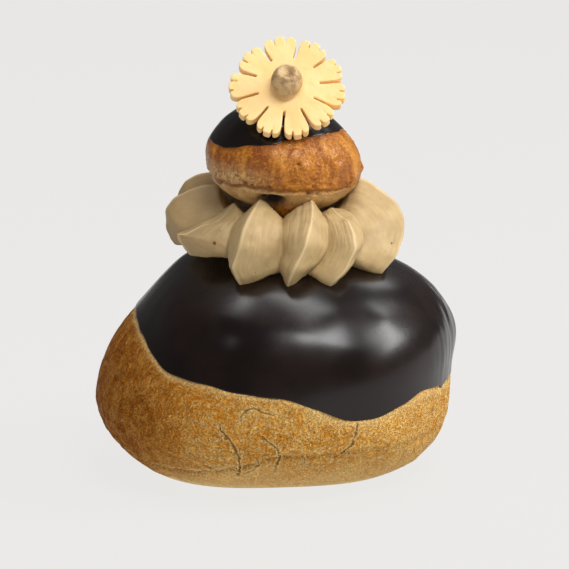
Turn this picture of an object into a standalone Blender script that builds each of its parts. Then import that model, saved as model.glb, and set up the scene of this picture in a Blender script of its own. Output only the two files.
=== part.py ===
"""Religieuse: a small choux bun on piped cream on a large choux bun, both dipped in dark chocolate,
with a sugar flower leaning on the top.

Lengths are metres, angles are degrees. +Z is up and the origin is at the middle of the flat base.
An azimuth is 0 at the front (-Y) and grows towards the right (+X).
"""

import math

import bmesh
import bpy
from mathutils import Vector

MM = 0.001
GAP = 0.4 * MM  # air left between pieces that touch

# Large bun: its bulge is wide and low on the left, higher on the right.
BUN_RADIUS = 40.4 * MM
BUN_LEFT_EXTRA = 0.6 * MM  # the left bulge reaches this much further, the right this much less
BUN_BACK_EXTRA = 0.3 * MM  # the same for the back and the front
BUN_TOP = 50.0 * MM
BULGE_HEIGHT = 21.7 * MM
BULGE_SLOPE = 4.4 * MM  # the bulge rises by this much on the right and drops on the left
BASE_RADIUS = 24.0 * MM
BASE_STRETCH = 2.4 * MM  # the flat base is longer from side to side
BASE_STRETCH_AZIMUTH = -75
BASE_DENT_AZIMUTH, BASE_DENT, BASE_DENT_WIDTH = 0, 2.8 * MM, 42  # it is flatter in front
UPPER_POWER, UPPER_POWER_SLOPE, UPPER_ROUND = 1.8, 0.3, 2.45
LOWER_POWER, LOWER_POWER_SLOPE, LOWER_ROUND = 2.8, 0.8, 1.2
FOLD_HEIGHT, FOLD_DEPTH, FOLD_WIDTH = 4.6 * MM, 0.7 * MM, 1.3 * MM  # crease above the foot
CRUST_LUMP = 0.35 * MM

# Chocolate coat on the large bun. Its lower edge slopes down to the right and has wide drips.
COAT_THICKNESS = 1.2 * MM
COAT_EDGE_ROUND = 2.6 * MM  # the coat thins to nothing over this distance from its edge
COAT_EDGE_HEIGHT, COAT_EDGE_SLOPE, COAT_EDGE_AZIMUTH = 28.5 * MM, 8.5 * MM, -105
COAT_DRIPS = (  # (azimuth, drop, half width in degrees)
    (-39, 3.1 * MM, 19),
    (-12, 1.5 * MM, 18),
    (25.5, 3.6 * MM, 15),
    (56, -2.3 * MM, 13),
    (82, -2.2 * MM, 16),
    (150, 3.2 * MM, 20),
    (-140, 2.6 * MM, 22),
)
COAT_LUMPS = (  # (azimuth, height, thickness added, radius of the lump)
    (-14, 39 * MM, 0.9 * MM, 8 * MM),
    (10, 32 * MM, 0.9 * MM, 9 * MM),
    (42, 33 * MM, 1.1 * MM, 8 * MM),
    (62, 26 * MM, 0.8 * MM, 8 * MM),
    (-50, 36 * MM, 0.4 * MM, 8 * MM),
    (88, 42 * MM, 0.5 * MM, 9 * MM),
    (-105, 47 * MM, 1.0 * MM, 9 * MM),
    (120, 34 * MM, 0.7 * MM, 9 * MM),
    (170, 36 * MM, 0.7 * MM, 10 * MM),
    (-140, 38 * MM, 0.6 * MM, 9 * MM),
)

# Piped collar: a star-nozzle rosette. Each row is (crest radius, crest height, valley radius,
# valley height), from the plateau under the small bun, over the ridges, down to the foot.
COLLAR_X = 1.5 * MM
PLATEAU_HEIGHT = 59.0 * MM
COLLAR_ROWS = tuple(
    tuple(value * MM for value in row)
    for row in (
        (6.8, 59.0, 6.8, 59.0),
        (10.3, 59.2, 10.1, 59.0),
        (14.4, 63.7, 12.4, 59.4),
        (19.6, 63.9, 15.8, 58.5),
        (23.0, 62.6, 18.0, 56.7),
        (25.4, 59.9, 19.4, 54.7),
        (26.6, 56.3, 19.8, 52.7),
        (26.0, 52.2, 20.3, 50.9),
        (25.2, 48.2, 20.7, 49.4),
        (24.5, 46.2, 20.7, 48.6),
        (19.0, 46.9, 18.6, 47.0),
    )
)
TOP_ROW, MIDDLE_ROW, TIP_ROW = 3, 6, 9
RIDGES = (  # azimuth at the top, the middle and the tip; reach of the ridge; lift of its foot
    (-124, -118, -122, 0.97, 4.0 * MM),
    (-101, -93, -90, 1.00, 4.6 * MM),
    (-55, -63, -58, 1.00, 4.4 * MM),
    (-21, -20, -24, 0.99, 0.0),
    (19, 9, 0, 1.00, -0.2 * MM),
    (42, 37, 22, 1.01, -0.8 * MM),
    (94, 84, 65, 1.03, 0.0),
    (128, 117, 103, 0.99, 0.6 * MM),
    (160, 148, 135, 1.01, 0.0),
    (190, 180, 168, 0.98, 0.4 * MM),
    (217, 211, 203, 1.00, 1.2 * MM),
)
RIDGE_SHARPNESS = 1.15  # above 1 the faces are hollow and the crest is thin
RIDGE_STEPS = 3  # columns from a crest to the valley beside it

# Small bun and its coat.
SMALL_X = 1.5 * MM
SMALL_RADIUS = 17.5 * MM
SMALL_MIDDLE, SMALL_TOP, SMALL_BOTTOM = 71.0 * MM, 82.6 * MM, 59.5 * MM
SMALL_UPPER_ROUND, SMALL_LOWER_ROUND = 1.95, 2.25
SMALL_LUMP = 0.3 * MM
SMALL_LEAN = 0.06  # the right side is lower: drop for each metre to the right of its axis
SMALL_COAT_THICKNESS = 0.8 * MM
SMALL_COAT_EDGE_HEIGHT, SMALL_COAT_EDGE_SLOPE, SMALL_COAT_EDGE_AZIMUTH = 76.6 * MM, 1.9 * MM, 60
SMALL_COAT_DRIPS = ((-50, 1.6 * MM, 30), (-10, 0.6 * MM, 16), (150, 1.0 * MM, 35))

# Sugar flower: ten notched petals, leaning back on the small bun's front, and its bead.
FLOWER_CENTRE = Vector((2.2, -9.1, 88.9)) * MM  # on the front face
FLOWER_ELEVATION = 41
FLOWER_RADIUS = 13.1 * MM
FLOWER_THICKNESS = 2.2 * MM
FIRST_SLIT = 76  # degrees from the flower's right, anticlockwise
PETALS = (  # clockwise from the first slit: (width in degrees, share of the flower's radius)
    (39, 0.96),
    (33, 0.99),
    (33, 1.02),
    (34, 1.00),
    (32, 0.99),
    (32, 1.00),
    (35, 0.98),
    (36, 1.00),
    (42, 0.94),
    (44, 0.97),
)
SLIT_DEPTH = 0.46  # of the radius
PETAL_EDGE = (  # (share of the half width, share of the radius), mirrored to the other half
    (0.00, 1.000),
    (0.14, 0.995),
    (0.27, 0.965),
    (0.305, 0.90),
    (0.32, 0.77),
    (0.35, 0.77),
    (0.365, 0.90),
    (0.40, 0.955),
    (0.52, 0.980),
    (0.66, 0.955),
    (0.80, 0.900),
    (0.89, 0.820),
    (0.94, 0.700),
)
SEAT_RADIUS = 4.4 * MM  # blob of chocolate that holds the flower
SEAT_DROP = 3.6 * MM  # the blob is this far below the middle of the flower's back
SMALL_COAT_THINNEST = 0.3 * MM
BEAD_RADIUS, BEAD_HEIGHT = 3.6 * MM, 4.8 * MM
BEAD_WIDEST = 0.4  # share of its height at which it is widest
BEAD_DIMPLE_DEPTH, BEAD_DIMPLE_RADIUS = 0.7 * MM, 1.3 * MM
BEAD_DIMPLE_OFFSET = (-0.3 * MM, 1.0 * MM)

# Mesh fineness.
BUN_COLUMNS = 56
BUN_LOWER_ROWS, BUN_UPPER_ROWS = 8, 9
COAT_OUTER_ROWS, COAT_INNER_ROWS = 10, 9
SMALL_COLUMNS = 36
SMALL_LOWER_ROWS, SMALL_UPPER_ROWS = 6, 5
SMALL_COAT_OUTER_ROWS, SMALL_COAT_INNER_ROWS = 7, 5
BEAD_COLUMNS, BEAD_ROWS = 20, 7
PROFILE_SAMPLES = 80


def sin_deg(angle):
    return math.sin(math.radians(angle))


def cos_deg(angle):
    return math.cos(math.radians(angle))


def at(azimuth, radius, height, centre_x=0.0):
    """The point at this azimuth, distance from the upright axis and height."""
    return Vector((centre_x + radius * sin_deg(azimuth), -radius * cos_deg(azimuth), height))


def turn_between(a, b):
    """The signed angle from azimuth a to azimuth b, between -180 and 180."""
    return (b - a + 180) % 360 - 180


def bump(distance):
    """A smooth hill: 1 at distance 0 and nearly 0 at distance 2."""
    return math.exp(-distance * distance)


def edge_height(azimuth, middle, slope, slope_azimuth, drips):
    """Height of a coat's lower edge: a tilted ring with a drip pulled down at each azimuth listed."""
    height = middle + slope * cos_deg(azimuth - slope_azimuth)
    for drip_azimuth, drop, width in drips:
        height -= drop * bump(turn_between(azimuth, drip_azimuth) / width)
    return height


# Large bun.


def bulge_height(azimuth):
    return BULGE_HEIGHT + BULGE_SLOPE * sin_deg(azimuth)


def base_radius(azimuth):
    dent = BASE_DENT * bump(turn_between(azimuth, BASE_DENT_AZIMUTH) / BASE_DENT_WIDTH)
    return BASE_RADIUS + BASE_STRETCH * cos_deg(2 * (azimuth - BASE_STRETCH_AZIMUTH)) - dent


def lower_power(azimuth):
    return LOWER_POWER + LOWER_POWER_SLOPE * sin_deg(azimuth)


def upper_power(azimuth):
    return UPPER_POWER + UPPER_POWER_SLOPE * sin_deg(azimuth)


def crust_lump(azimuth, height):
    """Low swellings all round the crust, gone at the base and near the top."""
    across = height / BUN_TOP
    swell = cos_deg(3 * azimuth + 165 + 300 * across) + 0.6 * cos_deg(5 * azimuth - 70 - 260 * across)
    return CRUST_LUMP * swell * math.sin(math.pi * min(1.0, max(0.0, across)))


def foot_fold(azimuth, height):
    """The crease where the bulge overhangs the foot, on the front left."""
    reach = bump(turn_between(azimuth, -45) / 70)
    return -FOLD_DEPTH * reach * bump((height - FOLD_HEIGHT) / FOLD_WIDTH)


def bun_point(azimuth, climb):
    """(radius, height) on the crust: climb is -90 at the base, 0 at the bulge, 90 at the top."""
    widest = BUN_RADIUS - BUN_LEFT_EXTRA * sin_deg(azimuth) - BUN_BACK_EXTRA * cos_deg(azimuth)
    middle = bulge_height(azimuth)
    across, along = cos_deg(climb), abs(sin_deg(climb))
    if climb >= 0:
        radius = widest * across ** (2 / UPPER_ROUND)
        height = middle + (BUN_TOP - middle) * along ** (2 / upper_power(azimuth))
    else:
        foot = base_radius(azimuth)
        radius = foot + (widest - foot) * across ** (2 / LOWER_ROUND)
        height = middle * (1 - along ** (2 / lower_power(azimuth)))
    if across > 1e-6:
        radius += crust_lump(azimuth, height) + foot_fold(azimuth, height)
    return max(radius, 0.0), height


def climb_at(azimuth, height):
    """The climb at which the crust has this height."""
    middle = bulge_height(azimuth)
    if height >= middle:
        share = ((height - middle) / (BUN_TOP - middle)) ** (upper_power(azimuth) / 2)
        return math.degrees(math.asin(min(1.0, share)))
    return -math.degrees(math.asin((1 - height / middle) ** (lower_power(azimuth) / 2)))


def offset_from(profile, azimuth, climb, distance):
    """A profile's (radius, height) moved out along its normal in the upright plane."""
    if climb > 89.9:
        return 0.0, profile(azimuth, 90)[1] + distance
    low, high = profile(azimuth, climb - 0.5), profile(azimuth, climb + 0.5)
    along = Vector((high[0] - low[0], high[1] - low[1])).normalized()
    radius, height = profile(azimuth, climb)
    return max(radius + along.y * distance, 0.0), height - along.x * distance


def large_edge_climb(azimuth):
    height = edge_height(
        azimuth, COAT_EDGE_HEIGHT, -COAT_EDGE_SLOPE, COAT_EDGE_AZIMUTH + 180, COAT_DRIPS
    )
    return climb_at(azimuth, height)


def coat_thickness(azimuth, climb):
    """Thickness of the large coat, with its lumps and its rounded lower edge."""
    radius, height = bun_point(azimuth, climb)
    here = at(azimuth, radius, height)
    thickness = COAT_THICKNESS
    for lump_azimuth, lump_height, extra, size in COAT_LUMPS:
        lump_radius = bun_point(lump_azimuth, climb_at(lump_azimuth, lump_height))[0]
        thickness += extra * bump((here - at(lump_azimuth, lump_radius, lump_height)).length / size)
    edge_radius, edge_low = bun_point(azimuth, large_edge_climb(azimuth))
    from_edge = math.hypot(radius - edge_radius, height - edge_low) / COAT_EDGE_ROUND
    return thickness * rounded(from_edge)


def rounded(share):
    """A quarter circle: 0 at share 0, and 1 from share 1 on."""
    share = min(1.0, max(0.0, share))
    return math.sqrt(1 - (1 - share) ** 2)


def coat_outside(azimuth, climb):
    return offset_from(bun_point, azimuth, climb, GAP + coat_thickness(azimuth, climb))


def coat_inside(azimuth, climb):
    return offset_from(bun_point, azimuth, climb, GAP)


def coat_top_at(azimuth, radius):
    """Height of the large coat's outside at this azimuth and distance from the axis."""
    last = coat_outside(azimuth, 90)
    for step in range(PROFILE_SAMPLES - 1, -1, -1):
        outer = coat_outside(azimuth, 90 * step / PROFILE_SAMPLES)
        if outer[0] >= radius:
            share = (radius - last[0]) / (outer[0] - last[0])
            return last[1] + share * (outer[1] - last[1])
        last = outer
    return last[1]


# Small bun.


def small_point(azimuth, climb):
    """(radius, height) on the small bun's crust."""
    across, along = cos_deg(climb), sin_deg(climb)
    lump = 0.6 * cos_deg(2 * azimuth + 50) + cos_deg(5 * azimuth + 3 * climb)
    widest = SMALL_RADIUS + SMALL_LUMP * lump * across * across
    if climb >= 0:
        rise, roundness = SMALL_TOP - SMALL_MIDDLE, SMALL_UPPER_ROUND
    else:
        rise, roundness = SMALL_MIDDLE - SMALL_BOTTOM, SMALL_LOWER_ROUND
    radius = widest * max(across, 0.0) ** (2 / roundness)
    height = SMALL_MIDDLE + math.copysign(rise * abs(along) ** (2 / roundness), along)
    return radius, height


def at_small(azimuth, radius, height):
    """The point of the small bun, which leans to the right."""
    point = at(azimuth, radius, height, SMALL_X)
    point.z -= SMALL_LEAN * (point.x - SMALL_X)
    return point


def small_underside_at(point):
    """Height of the small bun's crust above this point, or None outside its width."""
    across = math.hypot(point.x - SMALL_X, point.y) / SMALL_RADIUS
    if across >= 1:
        return None
    drop = (SMALL_MIDDLE - SMALL_BOTTOM) * (1 - across**SMALL_LOWER_ROUND) ** (1 / SMALL_LOWER_ROUND)
    return SMALL_MIDDLE - drop - SMALL_LEAN * (point.x - SMALL_X)


def small_edge_climb(azimuth):
    height = edge_height(
        azimuth,
        SMALL_COAT_EDGE_HEIGHT,
        SMALL_COAT_EDGE_SLOPE,
        SMALL_COAT_EDGE_AZIMUTH,
        SMALL_COAT_DRIPS,
    )
    share = (height - SMALL_MIDDLE) / (SMALL_TOP - SMALL_MIDDLE)
    return math.degrees(math.asin(share ** (SMALL_UPPER_ROUND / 2)))


def small_coat_inside(azimuth, climb):
    return offset_from(small_point, azimuth, climb, GAP)


def small_coat_outside(azimuth, climb):
    radius, height = small_point(azimuth, climb)
    edge_radius, edge_low = small_point(azimuth, small_edge_climb(azimuth))
    from_edge = math.hypot(radius - edge_radius, height - edge_low) / COAT_EDGE_ROUND
    return offset_from(small_point, azimuth, climb, GAP + SMALL_COAT_THICKNESS * rounded(from_edge))


def flower_axes():
    """Right, up and outward directions of the leaning flower."""
    outward = Vector((0, -cos_deg(FLOWER_ELEVATION), sin_deg(FLOWER_ELEVATION)))
    right = Vector((1, 0, 0))
    return right, outward.cross(right), outward


def seated(point):
    """A point of the small coat, raised to the flower's back where the blob holds the flower."""
    _, up, outward = flower_axes()
    seat = FLOWER_CENTRE - outward * FLOWER_THICKNESS - up * SEAT_DROP
    to_back = outward.dot(seat - point) - GAP
    if to_back <= 0:
        return point + outward * max(to_back, SMALL_COAT_THINNEST - SMALL_COAT_THICKNESS)
    aside = (point + outward * (to_back + GAP) - seat).length
    return point + outward * to_back * bump((aside / SEAT_RADIUS) ** 2)


# Meshes.


def solid(name, rings, poles):
    """A closed mesh from rings of points, all of one length, and a pole beyond the first and last."""
    mesh = bmesh.new()
    rows = [[mesh.verts.new(point) for point in ring] for ring in rings]
    first, last = mesh.verts.new(poles[0]), mesh.verts.new(poles[1])
    count = len(rows[0])
    for i in range(count):
        j = (i + 1) % count
        mesh.faces.new((first, rows[0][j], rows[0][i]))
        mesh.faces.new((last, rows[-1][i], rows[-1][j]))
        for low, high in zip(rows, rows[1:]):
            mesh.faces.new((low[i], low[j], high[j], high[i]))
    return finished(name, mesh)


def finished(name, mesh):
    """The mesh as a smooth-shaded object with its faces turned outwards."""
    bmesh.ops.recalc_face_normals(mesh, faces=mesh.faces)
    data = bpy.data.meshes.new(name)
    mesh.to_mesh(data)
    mesh.free()
    data.shade_smooth()
    data.set_sharp_from_angle(angle=math.radians(50))
    piece = bpy.data.objects.new(name, data)
    bpy.context.scene.collection.objects.link(piece)
    return piece


def paint(piece, colour, roughness):
    material = bpy.data.materials.new(piece.name)
    material.use_nodes = True
    shader = material.node_tree.nodes["Principled BSDF"]
    shader.inputs["Base Color"].default_value = (*colour, 1)
    shader.inputs["Roughness"].default_value = roughness
    shader.inputs["Metallic"].default_value = 0
    piece.data.materials.append(material)


def azimuths(count):
    return [360 * i / count for i in range(count)]


def spread(start, end, count):
    """Evenly spaced values from start towards end, end itself left out."""
    return [start + (end - start) * i / count for i in range(count)]


def large_bun():
    climbs = spread(-90, 0, BUN_LOWER_ROWS) + spread(0, 90, BUN_UPPER_ROWS)
    rings = [
        [at(azimuth, *bun_point(azimuth, climb)) for azimuth in azimuths(BUN_COLUMNS)]
        for climb in climbs
    ]
    return solid("large_bun", rings, (Vector((0, 0, 0)), Vector((0, 0, BUN_TOP))))


def shell(name, columns, edge_climb, inside, outside, rows):
    """A coat: from the top down its inside to the lower edge, and up its outside to the top.

    inside and outside give the point at an azimuth and a climb.
    """

    def ring(surface, share):
        edges = ((azimuth, edge_climb(azimuth)) for azimuth in azimuths(columns))
        return [surface(azimuth, edge + share * (90 - edge)) for azimuth, edge in edges]

    inner_rows, outer_rows = rows
    inner = [ring(inside, share) for share in spread(1, 0, inner_rows)[1:]]
    # The outer rows crowd towards the edge, where the coat curls in.
    outer = [ring(outside, share**1.6) for share in spread(0, 1, outer_rows)]
    return solid(name, inner + outer, (inside(0, 90), outside(0, 90)))


def large_coat():
    def inside(azimuth, climb):
        return at(azimuth, *coat_inside(azimuth, climb))

    def outside(azimuth, climb):
        return at(azimuth, *coat_outside(azimuth, climb))

    rows = (COAT_INNER_ROWS, COAT_OUTER_ROWS)
    return shell("large_coat", BUN_COLUMNS, large_edge_climb, inside, outside, rows)


def small_bun():
    climbs = spread(-90, 0, SMALL_LOWER_ROWS)[1:] + spread(0, 90, SMALL_UPPER_ROWS)
    rings = [
        [at_small(azimuth, *small_point(azimuth, climb)) for azimuth in azimuths(SMALL_COLUMNS)]
        for climb in climbs
    ]
    bottom, top = Vector((SMALL_X, 0, SMALL_BOTTOM)), Vector((SMALL_X, 0, SMALL_TOP))
    return solid("small_bun", rings, (bottom, top))


def small_coat():
    def inside(azimuth, climb):
        return at_small(azimuth, *small_coat_inside(azimuth, climb))

    def outside(azimuth, climb):
        return seated(at_small(azimuth, *small_coat_outside(azimuth, climb)))

    rows = (SMALL_COAT_INNER_ROWS, SMALL_COAT_OUTER_ROWS)
    return shell("small_coat", SMALL_COLUMNS, small_edge_climb, inside, outside, rows)


# Piped collar.


def ridge_azimuth(ridge, row):
    """Azimuth of a ridge's crest at this row: it leans between its top, its middle and its tip."""
    turns, index = divmod(ridge, len(RIDGES))
    top, middle, tip = RIDGES[index][:3]
    if row <= TOP_ROW:
        azimuth = top
    elif row <= MIDDLE_ROW:
        azimuth = top + (middle - top) * (row - TOP_ROW) / (MIDDLE_ROW - TOP_ROW)
    else:
        azimuth = middle + (tip - middle) * min(1, (row - MIDDLE_ROW) / (TIP_ROW - MIDDLE_ROW))
    return azimuth + 360 * turns


def crest_point(ridge, row):
    """(radius, height) of a ridge's crest at this row."""
    reach, lift = RIDGES[ridge % len(RIDGES)][3:]
    crest_radius, crest_height, valley_radius, _ = COLLAR_ROWS[row]
    lifted = max(0, row - TOP_ROW) / (TIP_ROW - TOP_ROW)
    return valley_radius + (crest_radius - valley_radius) * reach, crest_height + lift * min(1, lifted)


def collar_ring(row):
    """The points of one row, RIDGE_STEPS of them on each side of every crest."""
    valley_radius, valley_height = COLLAR_ROWS[row][2:]
    points = []
    for ridge in range(len(RIDGES)):
        crest_radius, crest_height = crest_point(ridge, row)
        crest = ridge_azimuth(ridge, row)
        for step in range(-RIDGE_STEPS, RIDGE_STEPS):
            neighbour = ridge_azimuth(ridge + (1 if step > 0 else -1), row)
            share = abs(step) / RIDGE_STEPS
            azimuth = crest + (neighbour - crest) / 2 * share
            rise = (1 - share) ** RIDGE_SHARPNESS
            radius = valley_radius + (crest_radius - valley_radius) * rise
            height = valley_height + (crest_height - valley_height) * rise
            points.append(clear_of_small_bun(clear_of_coat(at(azimuth, radius, height, COLLAR_X))))
    return points


def clear_of_coat(point):
    """The point, lifted where it would dip into the large coat."""
    azimuth = math.degrees(math.atan2(point.x, -point.y))
    lowest = coat_top_at(azimuth, math.hypot(point.x, point.y)) + GAP
    return Vector((point.x, point.y, max(point.z, lowest)))


def cream_collar():
    rings = [collar_ring(row) for row in range(len(COLLAR_ROWS))]
    rings += [underside(rings[-1], share) for share in (0.7, 0.35)]
    bottom = clear_of_coat(Vector((COLLAR_X, 0, 0)))
    return solid("cream_collar", rings, (Vector((COLLAR_X, 0, PLATEAU_HEIGHT)), bottom))


def clear_of_small_bun(point):
    """The point, pressed down where it would dip into the small bun."""
    highest = small_underside_at(point)
    if highest is None or point.z > SMALL_MIDDLE:
        return point
    return Vector((point.x, point.y, min(point.z, highest - GAP)))


def underside(ring, share):
    """A ring drawn in towards the axis and laid just above the coat."""
    axis = Vector((COLLAR_X, 0, 0))
    return [clear_of_coat(axis + Vector((p.x - axis.x, p.y, 0)) * share) for p in ring]


# Flower.


def petal_outline(centre, half_width, radius):
    """Points of one petal's edge, clockwise, in the flower's plane."""
    left = [(-across, out) for across, out in reversed(PETAL_EDGE)]
    points = []
    for across, out in left + list(PETAL_EDGE[1:]):
        angle = centre - across * half_width
        points.append((out * radius * cos_deg(angle), out * radius * sin_deg(angle)))
    return points


def flower_outline():
    points = []
    slit = FIRST_SLIT
    for index, (width, reach) in enumerate(PETALS):
        depth = FLOWER_RADIUS * (1 - SLIT_DEPTH + 0.03 * math.sin(2.3 * index))
        for nudge in (1.2, -1.2):
            points.append((depth * cos_deg(slit + nudge), depth * sin_deg(slit + nudge)))
        points += petal_outline(slit - width / 2, width / 2, FLOWER_RADIUS * reach)
        slit -= width
    return points


def flower():
    right, up, outward = flower_axes()
    mesh = bmesh.new()
    front = [mesh.verts.new(FLOWER_CENTRE + right * x + up * y) for x, y in flower_outline()]
    face = mesh.faces.new(front)
    pushed = bmesh.ops.extrude_face_region(mesh, geom=[face], use_keep_orig=True)
    moved = [item for item in pushed["geom"] if isinstance(item, bmesh.types.BMVert)]
    bmesh.ops.translate(mesh, verts=moved, vec=-outward * FLOWER_THICKNESS)
    return finished("flower", mesh)


def bead_point(turn, climb):
    """A point of the bead: climb is -90 under its middle, 0 where it is widest, 90 on top."""
    right, up, outward = flower_axes()
    radius = BEAD_RADIUS * cos_deg(climb) ** 0.9
    widest_height = BEAD_HEIGHT * BEAD_WIDEST
    x, y = radius * cos_deg(turn), radius * sin_deg(turn)
    if climb > 0:
        height = widest_height + (BEAD_HEIGHT - widest_height) * sin_deg(climb)
        from_dimple = math.hypot(x - BEAD_DIMPLE_OFFSET[0], y - BEAD_DIMPLE_OFFSET[1])
        height -= BEAD_DIMPLE_DEPTH * bump(from_dimple / BEAD_DIMPLE_RADIUS)
    else:
        height = widest_height * (1 + sin_deg(climb))
    return FLOWER_CENTRE + right * x + up * y + outward * (GAP + height)


def flower_centre():
    """A squashed ball with a dimple, resting on the petals."""
    climbs = spread(-60, 90, BEAD_ROWS)
    rings = [[bead_point(turn, climb) for turn in azimuths(BEAD_COLUMNS)] for climb in climbs]
    _, _, outward = flower_axes()
    return solid("flower_centre", rings, (FLOWER_CENTRE + outward * GAP, bead_point(0, 90)))


def main():
    for item in list(bpy.data.objects):
        bpy.data.objects.remove(item)
    paint(large_bun(), (0.55, 0.29, 0.09), 0.6)
    paint(large_coat(), (0.018, 0.011, 0.008), 0.25)
    paint(cream_collar(), (0.62, 0.42, 0.22), 0.5)
    paint(small_bun(), (0.5, 0.2, 0.05), 0.35)
    paint(small_coat(), (0.012, 0.008, 0.006), 0.2)
    paint(flower(), (0.93, 0.74, 0.38), 0.6)
    paint(flower_centre(), (0.4, 0.26, 0.13), 0.5)


main()
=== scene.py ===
"""Religieuse: looks of a two-tier choux pastry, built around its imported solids.

Lengths are metres, angles are degrees. An azimuth is 0 at the front (-Y) and grows towards the
right (+X). A climb runs up a bun's side: -90 under it, 0 where it is widest and 90 on its top.
"""

import math

import bpy
import numpy as np
from bpy.props import FloatProperty, FloatVectorProperty, PointerProperty
from mathutils import Matrix, Vector, noise
from mathutils.bvhtree import BVHTree


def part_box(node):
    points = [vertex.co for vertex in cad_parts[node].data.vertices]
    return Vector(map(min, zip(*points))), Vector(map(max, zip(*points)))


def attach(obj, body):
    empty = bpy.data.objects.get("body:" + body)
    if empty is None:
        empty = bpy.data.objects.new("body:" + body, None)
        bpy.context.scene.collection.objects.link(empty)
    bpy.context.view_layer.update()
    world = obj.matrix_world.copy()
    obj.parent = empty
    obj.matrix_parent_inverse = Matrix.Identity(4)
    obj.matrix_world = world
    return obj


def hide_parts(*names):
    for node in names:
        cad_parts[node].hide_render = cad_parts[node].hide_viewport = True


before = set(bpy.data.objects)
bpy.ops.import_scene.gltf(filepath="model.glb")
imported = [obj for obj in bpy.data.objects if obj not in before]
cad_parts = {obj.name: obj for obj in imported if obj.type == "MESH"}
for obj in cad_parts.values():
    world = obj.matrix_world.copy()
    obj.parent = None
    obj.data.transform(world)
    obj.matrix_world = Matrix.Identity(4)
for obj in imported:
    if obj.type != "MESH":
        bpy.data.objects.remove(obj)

bl_info = {
    "name": "Religieuse",
    "version": (1, 0, 0),
    "blender": (4, 5, 0),
    "location": "View3D > Sidebar > Religieuse",
    "description": "Builds a two-tier choux pastry with piped cream, chocolate and a sugar flower",
    "category": "Add Mesh",
}

MM = 0.001
NOISE_FALL, NOISE_STEP = 0.9, 2.0  # each octave is this much weaker and finer
POLE_SLOPE = 1e-12  # shorter than any real vector
WELD_DISTANCE = 1e-6


def node_low(node):
    return Vector(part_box(node)[0])


def node_high(node):
    return Vector(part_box(node)[1])


# Large bun.
BUN_TOP = node_high("large_bun").z
BUN_RADIUS = 40.15 * MM
BUN_LEFT_EXTRA = 0.6 * MM  # the left bulge reaches this much further, the right this much less
BUN_BACK_EXTRA = 0.3 * MM  # the same for the back and the front
BULGE_HEIGHT = 21.7 * MM
BULGE_SLOPE = 4.4 * MM  # the bulge rises by this much on the right and drops on the left
BASE_RADIUS = 24.0 * MM
BASE_STRETCH = 2.4 * MM
BASE_STRETCH_AZIMUTH = -75
BASE_DENT_AZIMUTH, BASE_DENT, BASE_DENT_WIDTH = 0, 2.8 * MM, 42  # the base is flatter in front
UPPER_POWER, UPPER_POWER_SLOPE, UPPER_ROUND = 1.8, 0.3, 2.45
LOWER_POWER, LOWER_POWER_SLOPE, LOWER_ROUND = 2.8, 0.8, 1.2
FOLD_HEIGHT, FOLD_DEPTH, FOLD_WIDTH = 5.6 * MM, 0.9 * MM, 0.7 * MM
FOLD_AZIMUTH, FOLD_REACH, FOLD_RISE = -40, 23, 2.0 * MM  # the fold rises towards both ends
BACK_FOLD_AZIMUTH, BACK_FOLD_REACH, BACK_FOLD_SHARE = 150, 60, 0.35  # it is fainter at the back
FOLD_LINE, FOLD_RIM, FOLD_RIM_ABOVE = 0.4 * MM, 0.45 * MM, 1.0 * MM  # its line of painted shade and its pale rim
FOLD_ROLL, FOLD_ROLL_ABOVE = 0.45 * MM, 1.4 * MM  # the roll over it
CRUST_LUMP = 0.35 * MM
CRUST_SWELLS = ((1, 3, 165, 300), (0.6, 5, -70, -260))  # (share, waves round, phase, turn going up)
# Grain is (depth, size, octaves, seed), and noise is the last three of them.
CRUST_GRAIN = ((0.28 * MM, 9 * MM, 2, 1), (0.10 * MM, 2.4 * MM, 3, 2))
WRINKLE_DEPTH, WRINKLE_WIDTH, WRINKLE_NOISE = 0.09 * MM, 0.14, (2.0 * MM, 2, 3)
WANDER, WANDER_NOISE = 0.45 * MM, (2.2 * MM, 2, 5)  # how far cracks and folds stray
FOOT_FADE = (1.4 * MM, 2.6 * MM)  # the heights between which the pale foot ends
FLAT_FOOT = 1.2 * MM  # below this height the relief dies out
BUN_COLUMNS, BUN_ROWS, BUN_HIDDEN_ROWS = 600, 138, 14
BUN_COVERED = 7  # the climb from the coat's edge to where the rows are coarse
BUN_SINK, BUN_SINK_CLIMBS = 0.25 * MM, (-0.6, 1.6)  # it sinks under the coat from its edge on
END_CLIMB = 88  # the last row of a large piece, next to its pole
CRACKS = (  # (strength, ((azimuth, height), ...))
    (
        1.00,
        (
            (-18.5, 20),
            (-17.6, 17.5),
            (-15, 15.6),
            (-12.6, 12.3),
            (-12.6, 9.5),
            (-14, 7),
            (-17.5, 5),
        ),
    ),
    (0.55, ((-11.2, 19), (-11, 21.2), (-8.4, 22.9), (-5, 23), (-2.9, 22.3), (1.3, 21.4))),
    (0.60, ((-6, 17), (-3.2, 16), (0.4, 13.6), (1, 11.2), (-0.6, 8.6), (0.2, 6.4))),
    (0.55, ((-13.5, 6.8), (-9.5, 7.4), (-6.6, 8.8), (-6.2, 12))),
    (1.00, ((25.6, 19.2), (25.2, 16.4), (24.4, 13.9), (22.6, 12.9), (20.5, 11.2))),
    (0.45, ((-27, 8.6), (-20, 8.0), (-14, 6.8))),
    (0.40, ((8, 12), (9.5, 10), (8.6, 7.6))),
    (0.90, ((118, 21), (121, 15), (117, 11), (119, 7))),
    (0.55, ((121, 15), (127, 14), (131, 16))),
    (0.90, ((-133, 19), (-137, 14), (-132, 11.5), (-134, 8))),
    (0.80, ((168, 17), (172, 12.5), (180, 11.5), (184, 8))),
    (0.50, ((-98, 16), (-103, 12), (-100, 9))),
)
CRACK_LIP, CRACK_LIP_MIDDLE = 1.1 * MM, 0.44 * MM  # how far from a crack its lip ends and rises
CRACK_LIP_HEIGHT, CRACK_DEPTH, CRACK_WIDTH = 0.2 * MM, 0.24 * MM, 0.3 * MM
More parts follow.
